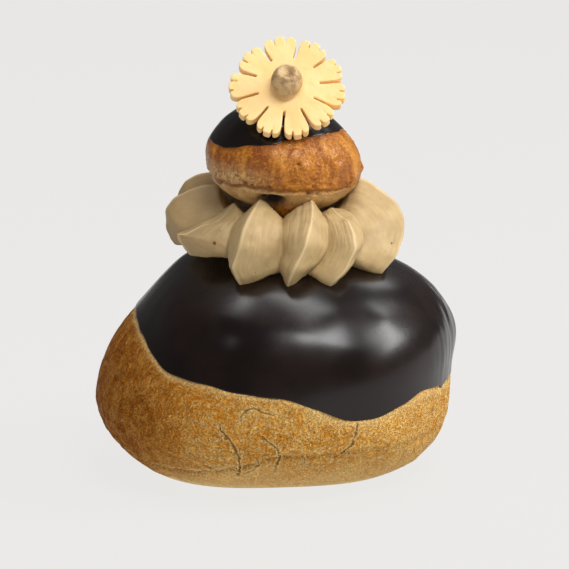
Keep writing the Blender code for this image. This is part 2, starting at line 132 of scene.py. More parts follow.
PITS = (  # (azimuth, height, radius, depth)
    (63.5, 17.1, 1.3, 0.55),
    (-67.3, 24, 1.2, 0.6),
    (-73, 15, 1.0, 0.35),
    (140, 24, 1.2, 0.5),
    (-160, 22, 1.1, 0.5),
)

# Large coat.
COAT_THICKNESS = 1.5 * MM  # from the crust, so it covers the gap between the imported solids
COAT_EDGE_ROUND, COAT_EDGE_SHARE = 0.25 * MM, 0.1  # a thin lip, which swells to the full thickness
COAT_SWELL = 16 * MM  # over this distance from the edge
COAT_EDGE_HEIGHT, COAT_EDGE_SLOPE, COAT_EDGE_AZIMUTH = 28.5 * MM, 8.5 * MM, -105
COAT_COLUMNS, COAT_ROWS, COAT_SINK = 480, (12, 150), 0.15 * MM  # rows inside and outside
COAT_WAVER = ((0.12 * MM, 13, 60), (0.08 * MM, 29, 0))  # (height, waves round the coat, phase)
COAT_RUNS, COAT_RUNS_AZIMUTHS = 0.5 * MM, (55, 75, 110, 140)  # start, full, fading, end
COAT_WAVES, COAT_WAVES_NOISE = 0.3 * MM, (13 * MM, 1, 8)
COAT_WAVES_BEHIND = 12 * MM  # they are full from this far behind the middle
COAT_STREAKS, COAT_STREAKS_NOISE = 0.25 * MM, (3.4 * MM, 2, 9)
COAT_STREAKS_FROM = (28 * MM, 38 * MM)  # they begin and are full this far to the right
COAT_DRIPS = (  # (azimuth, drop, half width in degrees)
    (-39, 3.1 * MM, 19),
    (-12, 1.5 * MM, 18),
    (25.5, 3.6 * MM, 15),
    (56, -2.3 * MM, 13),
    (82, -2.2 * MM, 16),
    (150, 3.2 * MM, 20),
    (-140, 2.6 * MM, 22),
)
COAT_LUMPS = (  # (azimuth, height, thickness added, radius of the lump)
    (-12, 44 * MM, 0.15 * MM, 4.5 * MM),
    (10, 37 * MM, 0.2 * MM, 4.5 * MM),
    (26, 41 * MM, 0.12 * MM, 4 * MM),
    (42, 38 * MM, 0.2 * MM, 4 * MM),
    (62, 26 * MM, 0.4 * MM, 7 * MM),
    (92, 29 * MM, 1.0 * MM, 7 * MM),
    (-50, 36 * MM, 0.4 * MM, 8 * MM),
    (88, 42 * MM, 0.4 * MM, 9 * MM),
    (-105, 47 * MM, 1.0 * MM, 9 * MM),
    (120, 34 * MM, 0.7 * MM, 9 * MM),
    (170, 36 * MM, 0.7 * MM, 10 * MM),
    (-140, 38 * MM, 0.6 * MM, 9 * MM),
)

# Piped collar.
COLLAR_X = 1.5 * MM
COLLAR_SETTLE_HEIGHT = 56 * MM  # below this the cream is kept clear of the large coat
COLLAR_COAT_OVERLAP, COLLAR_BUN_OVERLAP = 0.1 * MM, 0.2 * MM
RAY_START_ABOVE, RAY_START_BELOW = 80 * MM, 30 * MM  # heights clear of the coat and of the bun
COLLAR_GRAIN = (0.22 * MM, 5 * MM, 2, 32)
COLLAR_SHOWN = (46.5 * MM, 48.5 * MM), (8 * MM, 12 * MM)  # heights and radii where relief begins
PIPING_DEPTH, PIPING_SEED = 0.16 * MM, 31
PIPING_ACROSS, PIPING_ALONG = 420.0, 6.0  # lengths of the piping's own pattern
RADIUS_SCALE, HEIGHT_SCALE = 30, 70  # what the curves of the rows take as 1, in millimetres
# Rows of (place along the profile, crest radius, crest height, valley radius, valley height), in
# millimetres, from under the small bun, over the ridges, down to the foot and under it.
COLLAR_ROWS = (
    (0.00, 0.0, 59.0, 0.0, 59.0),
    (0.02, 6.8, 59.0, 6.8, 59.0),
    (0.06, 11.0, 59.3, 11.0, 59.0),
    (0.11, 13.6, 62.4, 13.4, 59.6),
    (0.16, 14.7, 64.2, 15.5, 59.9),
    (0.28, 19.6, 62.6, 17.8, 59.0),
    (0.38, 23.2, 60.4, 19.5, 57.3),
    (0.48, 25.5, 57.9, 20.7, 55.2),
    (0.58, 26.5, 54.9, 21.4, 52.9),
    (0.69, 26.5, 51.6, 21.6, 50.9),
    (0.80, 25.8, 48.9, 21.5, 49.4),
    (0.86, 25.0, 47.4, 21.2, 48.6),
    (0.90, 23.9, 46.5, 20.6, 47.9),
    (0.95, 20.0, 46.5, 18.6, 47.0),
    (1.00, 0.0, 46.0, 0.0, 46.0),
)
# Places of a ridge's inner peak, its widest row, the row where it turns in and its tip.
PEAK, BELLY, TURN, TIP = 0.16, 0.58, 0.75, 0.89
# Each ridge: azimuths of its crest and of the valley after it at those four places; its reach as a
# share and the slump of its shoulder; the lift of its foot and of the valley's; how much further in
# the valley runs; the drop of its peak. The last five are in millimetres.
ON_CREST, IN_VALLEY, REACH, SLUMP, CREST_LIFT, VALLEY_LIFT, INSET, PEAK_DROP = range(8)
RIDGE_RANGES = {REACH: (0.9, 1.1), SLUMP: (-5, 5), PEAK_DROP: (-3, 3)}  # they hold all ridges
RIDGES = (
    ((-124, -120, -121, -122), (-112, -105, -105, -106), 1.06, -2.8, 4.0, 4.0, 0.0, 0.0),
    ((-100, -94, -92, -90), (-66, -70, -74, -76), 1.00, -0.9, 4.6, 4.6, 3.0, 0.0),
    ((-50, -63, -62, -58), (-38, -35, -34, -33), 1.00, 4.4, 4.6, 4.2, 0.8, 1.2),
    ((-20, -21.5, -25, -23), (-1, -1, -2, -2), 1.00, 0.4, 0.0, 1.6, -0.5, 0.0),
    ((25, 10, 4.6, 2), (34, 26, 21, 15), 1.00, 0.2, 0.0, 1.0, -0.9, 0.0),
    ((46, 35.5, 30.5, 24), (62, 53, 47, 42), 1.02, 1.8, -0.4, 2.4, -0.2, 2.4),
    ((98, 85, 71, 61), (114, 102, 94, 86), 1.02, -1.8, 0.4, 1.0, 0.6, -1.2),
    ((129, 118, 111, 103), (145, 134, 127, 120), 0.99, -0.6, 0.6, 1.6, 0.6, 0.0),
    ((160, 149, 142, 135), (176, 165, 158, 152), 1.01, 0.5, 0.0, 1.0, 1.0, 0.0),
    ((190, 180, 174, 168), (205, 196, 191, 186), 0.98, -0.5, 0.4, 2.0, 0.6, 0.0),
    ((219, 211, 207, 203), (229, 226, 223, 220), 1.00, 0.5, 1.2, 3.0, 0.8, 0.0),
)
# How a ridge leans down to its belly, and where it leans on to its turn and to its tip.
LEAN_EASE, LEAN_STRETCHES = 1.5, ((BELLY - 0.06, TURN), (TURN - 0.05, TIP))
# Stretches of the profile where a ridge's slump, drop and inset come in, and where they go out.
SLUMP_STRETCH = ((0.11, 0.28), (0.42, 0.7))
DROP_STRETCH = ((0.06, PEAK), (0.18, 0.34))
INSET_STRETCH = ((0.06, 0.3), (0.45, 0.8))
# Rise of a ridge's side from the valley, 0, to the crest, 1.
FACET = ((0, 0), (0.05, 0.11), (0.16, 0.25), (0.36, 0.46), (0.62, 0.7), (0.87, 0.91), (1, 1))
COLLAR_GRID_ROWS, RIDGE_COLUMNS = 176, 44
# Air holes, painted dark as the shade in them, with a dent in the bump.
CREAM_HOLES = (  # (azimuth, radius, height, size)
    (-41.1, 23.14, 54.95, 0.5),
    (68.4, 25.8, 53.35, 0.34),
)

# Small bun and its coat.
SMALL_X = 1.5 * MM
SMALL_RADIUS = 17.45 * MM
SMALL_MIDDLE = 71.0 * MM
SMALL_TOP, SMALL_BOTTOM = node_high("small_bun").z, node_low("small_bun").z
SMALL_UPPER_ROUND, SMALL_LOWER_ROUND = 1.9, 2.25
SMALL_LUMP, SMALL_SWELLS = 0.3 * MM, ((0.6, 2, 50, 0), (1, 5, 0, 3))
SMALL_LEAN = 0.06
SMALL_COAT_THICKNESS = 1.1 * MM
SMALL_COAT_SWELL = 9 * MM
SMALL_COAT_EDGE_HEIGHT, SMALL_COAT_EDGE_SLOPE, SMALL_COAT_EDGE_AZIMUTH = 76.6 * MM, 1.9 * MM, 60
SMALL_COAT_DRIPS = ((-50, 1.6 * MM, 30), (-10, 0.6 * MM, 16), (150, 1.0 * MM, 35))
SMALL_CREASE_HEIGHT, SMALL_CREASE_SLOPE = 66.1 * MM, 0.06  # the crease is lower on the right
SMALL_COLUMNS, SMALL_ROWS, SMALL_HIDDEN_ROWS, SMALL_ENDS = 420, 170, 8, (-86, 86)
SMALL_COVERED = 8
SMALL_SINK, SMALL_SINK_CLIMBS = 0.2 * MM, (-1.0, 2.5)
SMALL_COAT_COLUMNS, SMALL_COAT_ROWS, SMALL_COAT_SINK = 320, (8, 110), 0.12 * MM
SMALL_COAT_WAVER = ((0.08 * MM, 9, 0), (0.05 * MM, 23, 40))
SMALL_COAT_GRAIN = (0.22 * MM, 5 * MM, 2, 21)
SMALL_GRAIN = (0.28 * MM, 6 * MM, 2, 11)
SMALL_LEFT, SMALL_RIGHT = (-11 * MM, 3 * MM), (-4 * MM, 8 * MM)
# Depth on the left, what is added to it on the right, and the noise.
SMALL_FINE_GRAIN = (0.04 * MM, 0.08 * MM, (1.6 * MM, 3, 12))
SMALL_BLISTERS = (0.1 * MM, 0.2 * MM, (1.9 * MM, 2, 13))
CREASE_AZIMUTH, CREASE_REACH = -25, 75
CREASE_DEPTH, CREASE_WIDTH, CREASE_ABOVE = 0.45 * MM, 0.35 * MM, 0.3 * MM
CREASE_LIP, CREASE_LIP_BELOW = 0.2 * MM, 0.4 * MM
CREASE_WANDER, CREASE_WANDER_NOISE = 0.4 * MM, (2.0 * MM, 2, 14)
ROUGH_DEPTH, ROUGH_NOISE = 0.5 * MM, (0.9 * MM, 2, 15)
ROUGH_ABOVE, ROUGH_REACH = 2.2 * MM, 1.9 * MM
UNDER_FADE = (-0.6 * MM, 0.6 * MM)
SMALL_PITS = (  # (azimuth, climb, radius, depth), in degrees and millimetres; a blister is below 0
    (11, 9, 0.55, 0.5),
    (15, 6, 0.9, -0.45),
    (13, -2, 1.4, -0.35),
    (44, 1, 1.5, -0.45),
    (62, -8, 1.2, -0.5),
    (71, 6, 0.9, -0.5),
    (80, -3, 1.1, -0.6),
    (-62, -19, 0.5, 0.6),
    (-56, -20, 0.4, 0.5),
    (-31, -17, 0.6, 0.6),
    (-25, -18, 0.4, 0.4),
    (-11, -19, 0.7, 0.7),
    (20, -24, 0.7, 0.6),
    (27, -24, 0.5, 0.5),
)
HOLLOW, HOLLOW_SIZE = Vector((-1.1, -13.8, 63.9)) * MM, Vector((2.3, 3.0, 1.1)) * MM
NUB, NUB_SIZE = Vector((1.8, -12.0, 61.2)) * MM, Vector((3.2, 3.0, 2.2)) * MM
HOLLOW_DEPTH, NUB_HEIGHT, NUB_GRAIN = 3.2 * MM, 1.7 * MM, (0.7 * MM, 1.5 * MM, 2, 16)

# Sugar flower and bead.
FLOWER_CENTRE = Vector((2.2, -9.1, 88.8)) * MM
FLOWER_ELEVATION = 38
FLOWER_RADIUS = 12.8 * MM
FLOWER_THICKNESS = 2.2 * MM
SLIT_ANGLE, SLIT_END, PETAL_REACH = range(3)
PETALS = (  # clockwise: (angle of the slit before it, inner end of that slit, reach of the petal)
    (76.0, 0.54, 0.96),
    (37.0, 0.57, 0.99),
    (4.4, 0.56, 1.02),
    (-28.6, 0.50, 1.00),
    (-62.5, 0.50, 0.99),
    (-95.0, 0.50, 1.00),
    (-127.0, 0.52, 0.98),
    (-161.7, 0.49, 1.00),
    (-198.2, 0.55, 0.94),
    (-240.0, 0.54, 0.97),
)
EDGE_PLACE, EDGE_WIDTH, EDGE_RADIUS, EDGE_NOTCH = range(4)
PETAL_EDGE = (  # (place from the petal's middle to its slit, share of half width, of radius, notch)
    (0.00, 0.000, 1.000, 0),
    (0.10, 0.120, 0.999, 0),
    (0.18, 0.205, 0.988, 0),
    (0.22, 0.262, 0.962, 0),
    (0.25, 0.280, 0.890, 0.3),
    (0.29, 0.288, 0.810, 1),
    (0.32, 0.302, 0.765, 1),
    (0.35, 0.330, 0.765, 1),
    (0.38, 0.344, 0.810, 1),
    (0.42, 0.352, 0.890, 0.3),
    (0.45, 0.376, 0.958, 0),
    (0.51, 0.460, 0.978, 0),
    (0.58, 0.560, 0.978, 0),
    (0.65, 0.665, 0.966, 0),
    (0.72, 0.765, 0.940, 0),
    (0.78, 0.845, 0.895, 0),
    (0.83, 0.888, 0.825, 0),
    (0.87, 0.892, 0.730, 0),
    (0.91, 0.878, 0.620, 0),
    (0.94, 0.865, 0.560, 0),
    (1.00, 1.000, 0.530, 0),
)
NOTCH_VARIATION = 0.035  # of the flower's radius
PETAL_COLUMNS, FLOWER_ROWS = 50, 14
NOTCH_TURN, LIFT_TURN = 2.3, 2.4  # radians of their waves from petal to petal
SLIT_BEGINS, LIFT_BEGINS = 0.93, 0.45
FLOWER_FACE, FLOWER_SMOOTHING = 0.14 * MM, 3  # the size of the finished faces, the rounds
FLOWER_GRAIN = (0.07 * MM, 2.5 * MM, 2, 41)
SEAT_RADIUS, SEAT_DROP, SEAT_THINNEST = 4.4 * MM, 3.6 * MM, 0.3 * MM
BEAD_RADIUS, BEAD_HEIGHT, BEAD_WIDEST = 3.5 * MM, 5.0 * MM, 0.3
BEAD_TAPER, BEAD_STRETCH = 0.1, 0.1  # its lower half is narrower and longer
BEAD_DIMPLE_DEPTH, BEAD_DIMPLE_RADIUS = 1.3 * MM, 1.25 * MM
BEAD_DIMPLE_OFFSET = (0.1 * MM, 0.8 * MM)
BEAD_COLUMNS, BEAD_ROWS, BEAD_ENDS = 144, 76, (-60, 88)
BEAD_ROUND, BEAD_SINK = 0.9, 0.3 * MM
BEAD_GRAIN = ((0.12 * MM, 1.6 * MM, 2, 51), (0.05 * MM, 0.4 * MM, 2, 52))

# Stage.
FLOOR_HALF, FLOOR_GLOW, FLOOR_SHADE = 3.0, 0.97, 0.035
WORLD_STRENGTH = 0.12
LIGHTS_AIM = Vector((0, 0, 0.05))
LIGHTS = (  # (name, azimuth, elevation, distance, (width, height), power, whether it is mirrored)
    ("side", 87, 32, 0.9, (0.29, 0.44), 5.3, True),
    ("front", 30, 54, 0.9, (0.55, 0.24), 5.3, True),
    ("high_left", -120, 71, 0.9, (0.29, 0.14), 1.0, True),
    ("high_right", 130, 81, 0.9, (0.42, 0.15), 1.5, True),
    ("back_right", 116, 47, 0.9, (0.14, 0.2), 0.5, True),
    ("back", 160, 42, 0.9, (0.45, 0.2), 0.9, True),
    ("left", -50, 42, 0.9, (0.14, 0.14), 0.07, True),
    ("fill", -5, 8, 1.2, (1.0, 0.35), 2.2, False),
)
SENSOR_WIDTH = 36
CAMERA_DISTANCE, CAMERA_ELEVATION, FRAME_WIDTH = 0.8, 12, 0.128
CAMERA_TARGET = Vector((1.7, 0, 42)) * MM


# Shape helpers. Azimuths and climbs may be numpy arrays.


def sin_deg(angle):
    return np.sin(np.radians(angle))


def cos_deg(angle):
    return np.cos(np.radians(angle))


def bump(distance):
    """A smooth hill: 1 at distance 0 and nearly 0 at distance 2."""
    return np.exp(-distance * distance)


def step_up(low, high, value):
    """A smooth rise from 0 at low to 1 at high."""
    share = np.clip((value - low) / (high - low), 0, 1)
    return share * share * (3 - 2 * share)


def rounded(share):
    """A quarter circle: 0 at share 0, and 1 from share 1 on."""
    return np.sqrt(1 - (1 - np.clip(share, 0, 1)) ** 2)


def turn_between(a, b):
    """The signed angle from azimuth a to azimuth b, between -180 and 180."""
    return (b - a + 180) % 360 - 180


def at(azimuth, radius, height, centre_x=0.0):
    """The points at these azimuths, distances from the upright axis and heights."""
    x = centre_x + radius * sin_deg(azimuth)
    y = -radius * cos_deg(azimuth)
    return np.stack(np.broadcast_arrays(x, y, height), -1)


def unit(vectors):
    return vectors / np.maximum(np.linalg.norm(vectors, axis=-1, keepdims=True), POLE_SLOPE)


def outward_normals(rings):
    """The outward direction at each point of a grid of rings stacked upwards."""
    around = np.roll(rings, -1, 1) - np.roll(rings, 1, 1)
    upward = np.gradient(rings, axis=0)
    return unit(np.cross(around, upward))


def fractal(points, size, octaves, seed):
    """Smooth noise, mostly between -1 and 1, with its largest features of this size."""
    shift = Vector((17.3, 5.1, 9.7)) * seed  # each seed reads another part of the noise
    flat = points.reshape(-1, 3) / size
    values = [noise.fractal(Vector(p) + shift, NOISE_FALL, NOISE_STEP, octaves) for p in flat]
    return np.array(values).reshape(points.shape[:-1])


def grain(points, *layers):
    """The sum of layers of smooth noise, each (depth, size, octaves, seed)."""
    return sum(depth * fractal(points, *layer) for depth, *layer in layers)


def swells(azimuth, up, waves):
    """The sum of waves round a bun, each (share, waves round, phase, turn going up)."""
    return sum(
        share * cos_deg(count * azimuth + phase + turn * up) for share, count, phase, turn in waves
    )


def columns_round(count):
    """The azimuths of this many columns, as a row."""
    return np.linspace(0, 360, count, endpoint=False)[None, :]


def offset_from_line(x, y, line):
    """How far each (x, y) is to the left of joined points, and the share of the way along them."""
    offset, along, run = np.full(np.shape(x), 1e9), np.zeros(np.shape(x)), 0.0
    for (x0, y0), (x1, y1) in zip(line, line[1:]):
        dx, dy = x1 - x0, y1 - y0
        length = math.hypot(dx, dy)
        share = np.clip(((x - x0) * dx + (y - y0) * dy) / length**2, 0, 1)
        aside, above = x - x0 - share * dx, y - y0 - share * dy
        away = np.hypot(aside, above)
        closer = away < np.abs(offset)
        offset = np.where(closer, np.where(dx * above > dy * aside, away, -away), offset)
        along = np.where(closer, run + share * length, along)
        run += length
    return offset, along / run


def edge_height(azimuth, middle, slope, slope_azimuth, drips, waver):
    """Height of a coat's lower edge: a tilted, wavering ring with a drip at each azimuth listed."""
    height = middle + slope * cos_deg(azimuth - slope_azimuth)
    for drip_azimuth, drop, width in drips:
        height = height - drop * bump(turn_between(azimuth, drip_azimuth) / width)
    return height + sum(rise * sin_deg(waves * azimuth + phase) for rise, waves, phase in waver)


# Large bun and coat.


def bulge_height(azimuth):
    return BULGE_HEIGHT + BULGE_SLOPE * sin_deg(azimuth)


def upper_power(azimuth):
    return UPPER_POWER + UPPER_POWER_SLOPE * sin_deg(azimuth)


def lower_power(azimuth):
    return LOWER_POWER + LOWER_POWER_SLOPE * sin_deg(azimuth)


def base_radius(azimuth):
    dent = BASE_DENT * bump(turn_between(azimuth, BASE_DENT_AZIMUTH) / BASE_DENT_WIDTH)
    return BASE_RADIUS + BASE_STRETCH * cos_deg(2 * (azimuth - BASE_STRETCH_AZIMUTH)) - dent


def crust_lump(azimuth, height):
    """Low swellings all round the crust, gone at the base and near the top."""
    up = np.clip(height / BUN_TOP, 0, 1)
    return CRUST_LUMP * swells(azimuth, up, CRUST_SWELLS) * np.sin(math.pi * up)


def bun_point(azimuth, climb):
    """(radius, height) on the large bun's crust."""
    widest = BUN_RADIUS - BUN_LEFT_EXTRA * sin_deg(azimuth) - BUN_BACK_EXTRA * cos_deg(azimuth)
    middle = bulge_height(azimuth)
    foot = base_radius(azimuth)
    across, along = np.maximum(cos_deg(climb), 0), np.abs(sin_deg(climb))
    upper = np.broadcast_to(climb >= 0, np.broadcast(azimuth, climb).shape)
    radius = np.where(
        upper,
        widest * across ** (2 / UPPER_ROUND),
        foot + (widest - foot) * across ** (2 / LOWER_ROUND),
    )
    height = np.where(
        upper,
        middle + (BUN_TOP - middle) * along ** (2 / upper_power(azimuth)),
        middle * (1 - along ** (2 / lower_power(azimuth))),
    )
    return np.maximum(radius + crust_lump(azimuth, height) * np.sign(across), 0), height


def climb_at(azimuth, height):
    """The climb at which the large bun's crust has this height."""
    middle = bulge_height(azimuth)
    above = np.clip((height - middle) / (BUN_TOP - middle), 0, 1) ** (upper_power(azimuth) / 2)
    below = np.clip(1 - height / middle, 0, 1) ** (lower_power(azimuth) / 2)
    return np.degrees(np.where(height >= middle, np.arcsin(above), -np.arcsin(below)))


def large_edge_climb(azimuth):
    """Climb of the large coat's lower edge, with fine runs on the right."""
    tilt, tilt_azimuth = -COAT_EDGE_SLOPE, COAT_EDGE_AZIMUTH + 180
    height = edge_height(azimuth, COAT_EDGE_HEIGHT, tilt, tilt_azimuth, COAT_DRIPS, COAT_WAVER)
    start, full, fading, end = COAT_RUNS_AZIMUTHS
    ragged = step_up(start, full, azimuth) * (1 - step_up(fading, end, azimuth))
    runs = ragged * COAT_RUNS * sin_deg(61 * azimuth) * sin_deg(17 * azimuth)
    return climb_at(azimuth, height + runs)


def crust_relief(points, azimuth, depth_share):
    """Relief of the large bun's crust, and the masks that its finish reads."""
    height = points[..., 2]
    wander = WANDER * fractal(points, *WANDER_NOISE)
    relief = grain(points, *CRUST_GRAIN)
    relief -= WRINKLE_DEPTH * bump(fractal(points, *WRINKLE_NOISE) / WRINKLE_WIDTH)
    across, strength = nearest_crack(azimuth, height, wander)
    away = np.abs(across)
    lips = bump((away - CRACK_LIP_MIDDLE) / CRACK_LIP_MIDDLE)
    relief += strength * (CRACK_LIP_HEIGHT * lips - CRACK_DEPTH * bump(away / CRACK_WIDTH))
    crack = np.zeros_like(height)
    for pit_azimuth, pit_height, radius, depth in PITS:
        middle = large_surface(pit_azimuth, climb_at(pit_azimuth, pit_height * MM))
        away = np.linalg.norm(points - middle, axis=-1) / (radius * MM)
        relief -= depth * MM * bump(away + 0.5 * wander / MM)
        # Painted shade in each pit.
        crack = np.maximum(crack, 0.8 * bump(away * 1.3))
    # The fold: a groove with a line of painted shade in it, under a roll and a pale rim.
    aside = turn_between(azimuth, FOLD_AZIMUTH) / FOLD_REACH
    back = bump(turn_between(azimuth, BACK_FOLD_AZIMUTH) / BACK_FOLD_REACH)
    fold = bump(aside / 2.2) + BACK_FOLD_SHARE * back
    above = height - (FOLD_HEIGHT + FOLD_RISE * np.minimum(aside * aside, 3) + 1.2 * wander)
    relief -= FOLD_DEPTH * fold * bump(above / FOLD_WIDTH)
    relief += FOLD_ROLL * fold * bump((above - FOLD_ROLL_ABOVE) / FOLD_WIDTH)
    foot = 1 - step_up(*FOOT_FADE, height - 2 * wander)
    relief *= depth_share * (1 - 0.85 * foot) * step_up(0, FLAT_FOOT, height)
    return relief, {
        "crack": np.maximum(crack, fold * bump(above / FOLD_LINE)),
        "foot": foot,
        "rim": fold * bump((above - FOLD_RIM_ABOVE) / FOLD_RIM),
        "crack_across": across / MM,
        "crack_strength": strength,
    }


def nearest_crack(azimuth, height, wander):
    """How far each place is to one side of the nearest crack, and the strength of that crack."""
    across, strength = np.full(height.shape, 1.0), np.zeros(height.shape)
    for crack_strength, line in CRACKS:
        path = [(0.0, line[0][1] * MM)]
        for (a0, h0), (a1, h1) in zip(line, line[1:]):
            path.append((path[-1][0] + math.radians(a1 - a0) * BUN_RADIUS, h1 * MM))
        around = np.radians(turn_between(line[0][0], azimuth)) * BUN_RADIUS + 0 * height
        offset, along = offset_from_line(around + wander, height + wander, path)
        taper = step_up(0, 0.12, along) * (1 - step_up(0.85, 1, along))
        closer = np.abs(offset) < np.abs(across)
        across = np.where(closer, offset, across)
        strength = np.where(closer, crack_strength * taper, strength)
    return across, strength * (1 - step_up(0.8 * CRACK_LIP, 1.6 * CRACK_LIP, np.abs(across)))


def large_surface(azimuth, climbs):
    return at(azimuth, *bun_point(azimuth, climbs))


def bun_climbs(ends, covered, rows, hidden_rows):
    """Climbs of a bun's rows between its ends: fine where it shows, coarse where it is covered."""
    lowest, highest = ends
    shown = lowest + (covered - lowest) * np.linspace(0, 1, rows)[:, None]
    hidden = covered + (highest - covered) * np.linspace(0, 1, hidden_rows + 1)[1:, None]
    return np.concatenate([shown, hidden])


def large_bun(sizes):
    azimuth = columns_round(BUN_COLUMNS)
    edge = large_edge_climb(azimuth)
    climbs = bun_climbs((-90, END_CLIMB), edge + BUN_COVERED, BUN_ROWS, BUN_HIDDEN_ROWS)
    points = large_surface(azimuth, climbs)
    relief, masks = crust_relief(points, azimuth, sizes.crust_relief)
    under_coat = step_up(*BUN_SINK_CLIMBS, climbs - edge)
    relief = relief * (1 - under_coat) - BUN_SINK * under_coat
    points = points + outward_normals(points) * relief[..., None]
    points[..., 2] = np.maximum(points[..., 2], 0)
    masks["rim"] = np.maximum(bump((climbs - edge + 0.9) / 1.2), masks["rim"])
    return closed_surface("crust_large", points, (0, 0, 0), (0, 0, BUN_TOP), masks)


def coat_lumps(points):
    """Thickness that the lumps add to the large coat, rougher towards the right."""
    extra = np.zeros(points.shape[:-1])
    for azimuth, height, thickness, size in COAT_LUMPS:
        middle = at(azimuth, bun_point(azimuth, climb_at(azimuth, height))[0], height)
        extra += thickness * bump(np.linalg.norm(points - middle, axis=-1) / size)
    right = step_up(*COAT_STREAKS_FROM, points[..., 0])
    behind = 0.2 + 0.8 * step_up(0, COAT_WAVES_BEHIND, points[..., 1])
    extra += COAT_WAVES * behind * fractal(points, *COAT_WAVES_NOISE)
    streaks = fractal(points * (1, 1, 0.3), *COAT_STREAKS_NOISE)
    return extra + right * COAT_STREAKS * streaks


def coat_rings(azimuth, edge, surface, rows, thickness, swell, sink, settle=None):
    """Rings of a coat: inner rows just under the crust, then outer rows out by its thickness.

    surface gives the crust's points, thickness the coat's at these points, from a thin lip at the
    edge up to its full value at the swell distance, and settle moves the outer points.
    """
    inner_rows, outer_rows = rows
    inner = edge + (END_CLIMB - edge) * np.linspace(1, 0, inner_rows)[:-1, None]
    outer = edge + (END_CLIMB - edge) * (np.linspace(0, 1, outer_rows) ** 1.5)[:, None]
    inside = surface(azimuth, inner)
    inside = inside - outward_normals(inside[::-1])[::-1] * sink
    crust = surface(azimuth, outer)
    from_edge = np.linalg.norm(crust - surface(azimuth, edge), axis=-1)
    lip = COAT_EDGE_SHARE * rounded(from_edge / COAT_EDGE_ROUND)
    share = lip + (1 - COAT_EDGE_SHARE) * step_up(0, swell, from_edge)
    outside = crust + outward_normals(crust) * (thickness(crust) * share)[..., None]
    if settle:
        outside = settle(outside)
    outside[0] -= outward_normals(crust)[0] * sink
    return np.concatenate([inside, outside])


def large_coat(sizes):
    azimuth = columns_round(COAT_COLUMNS)
    edge = large_edge_climb(azimuth)

    def thickness(crust):
        return sizes.coat_thickness + coat_lumps(crust)

    rings = coat_rings(
        azimuth, edge, large_surface, COAT_ROWS, thickness, COAT_SWELL, COAT_SINK
    )
    top = float(rings[-1, :, 2].mean())
    return closed_surface("coat_large", rings, (0, 0, BUN_TOP - COAT_SINK), (0, 0, top))


# Small bun and coat.


def small_point(azimuth, climb):
    """(radius, height) on the small bun's crust, before it leans."""
    across, along = np.maximum(cos_deg(climb), 0), sin_deg(climb)
    lump = SMALL_LUMP * swells(azimuth, climb, SMALL_SWELLS)
    widest = SMALL_RADIUS + lump * across * across
    upper = climb >= 0
    rise = np.where(upper, SMALL_TOP - SMALL_MIDDLE, SMALL_MIDDLE - SMALL_BOTTOM)
    roundness = np.where(upper, SMALL_UPPER_ROUND, SMALL_LOWER_ROUND)
    radius = widest * across ** (2 / roundness)
    height = SMALL_MIDDLE + np.sign(along) * rise * np.abs(along) ** (2 / roundness)
    return radius, height


def small_surface(azimuth, climb):
    points = at(azimuth, *small_point(azimuth, climb), SMALL_X)
    points[..., 2] -= SMALL_LEAN * (points[..., 0] - SMALL_X)
    return points


def small_edge_climb(azimuth):
    tilt, tilt_azimuth = SMALL_COAT_EDGE_SLOPE, SMALL_COAT_EDGE_AZIMUTH
    drips, waver = SMALL_COAT_DRIPS, SMALL_COAT_WAVER
    height = edge_height(azimuth, SMALL_COAT_EDGE_HEIGHT, tilt, tilt_azimuth, drips, waver)
    share = (height - SMALL_MIDDLE) / (SMALL_TOP - SMALL_MIDDLE)
    return np.degrees(np.arcsin(share ** (SMALL_UPPER_ROUND / 2)))


def blob(points, middle, size):
    """1 at the middle of an egg of this size, and nearly 0 at twice its size."""
    return bump(np.linalg.norm((points - np.array(middle)) / np.array(size), axis=-1))


def small_relief(points, azimuth):
    """Relief of the small bun, rougher on the right, and the masks that its finish reads."""
    height = points[..., 2]
    right = step_up(*SMALL_RIGHT, points[..., 0])
    left = 1 - step_up(*SMALL_LEFT, points[..., 0])
    relief = grain(points, SMALL_GRAIN)
    depth, more, layer = SMALL_FINE_GRAIN
    relief += (depth + more * right) * fractal(points, *layer)
    depth, more, layer = SMALL_BLISTERS
    relief += (depth + more * right) * np.clip(fractal(points, *layer) - 0.2, 0, 1)
    crack = np.zeros_like(height)
    for pit_azimuth, pit_climb, radius, depth in SMALL_PITS:
        middle = small_surface(np.array(float(pit_azimuth)), np.array(float(pit_climb)))
        away = np.linalg.norm(points - middle, axis=-1) / (radius * MM)
        relief -= depth * MM * bump(away)
        # Painted shade in each pit, but not on the blisters.
        crack = np.maximum(crack, step_up(0, 0.3, depth) * bump(1.2 * away))
    # The crease low on the left, rough above and smooth below, with painted shade in it.
    wander = CREASE_WANDER * fractal(points, *CREASE_WANDER_NOISE)
    crease_line = SMALL_CREASE_HEIGHT - SMALL_CREASE_SLOPE * (points[..., 0] - SMALL_X) + wander
    above = height - crease_line
    front = bump(turn_between(azimuth, CREASE_AZIMUTH) / CREASE_REACH)
    crease = front * bump((above - CREASE_ABOVE) / CREASE_WIDTH)
    rough = front * bump((above - ROUGH_ABOVE) / ROUGH_REACH)
    relief += rough * ROUGH_DEPTH * fractal(points, *ROUGH_NOISE) - CREASE_DEPTH * crease
    relief += CREASE_LIP * front * bump((above + CREASE_LIP_BELOW) / CREASE_WIDTH)
    hollow_and_painted_shadow, nub = blob(points, HOLLOW, HOLLOW_SIZE), blob(points, NUB, NUB_SIZE)
    relief += nub * (NUB_HEIGHT + grain(points, NUB_GRAIN)) - HOLLOW_DEPTH * hollow_and_painted_shadow
    below = 1 - step_up(*UNDER_FADE, above)
    return relief, {
        # Painted shade in the pits, the crease and the dent.
        "crack": np.maximum(crack, np.maximum(0.7 * crease, np.minimum(1, 2 * hollow_and_painted_shadow))),
        "foot": below * (1 - np.minimum(1, 1.5 * nub)),
        "pale_band": rough * left,
        # A near-black painted shadow in the dent above the nub.
        "hollow_and_painted_shadow": np.minimum(1, 2.2 * hollow_and_painted_shadow),
    }


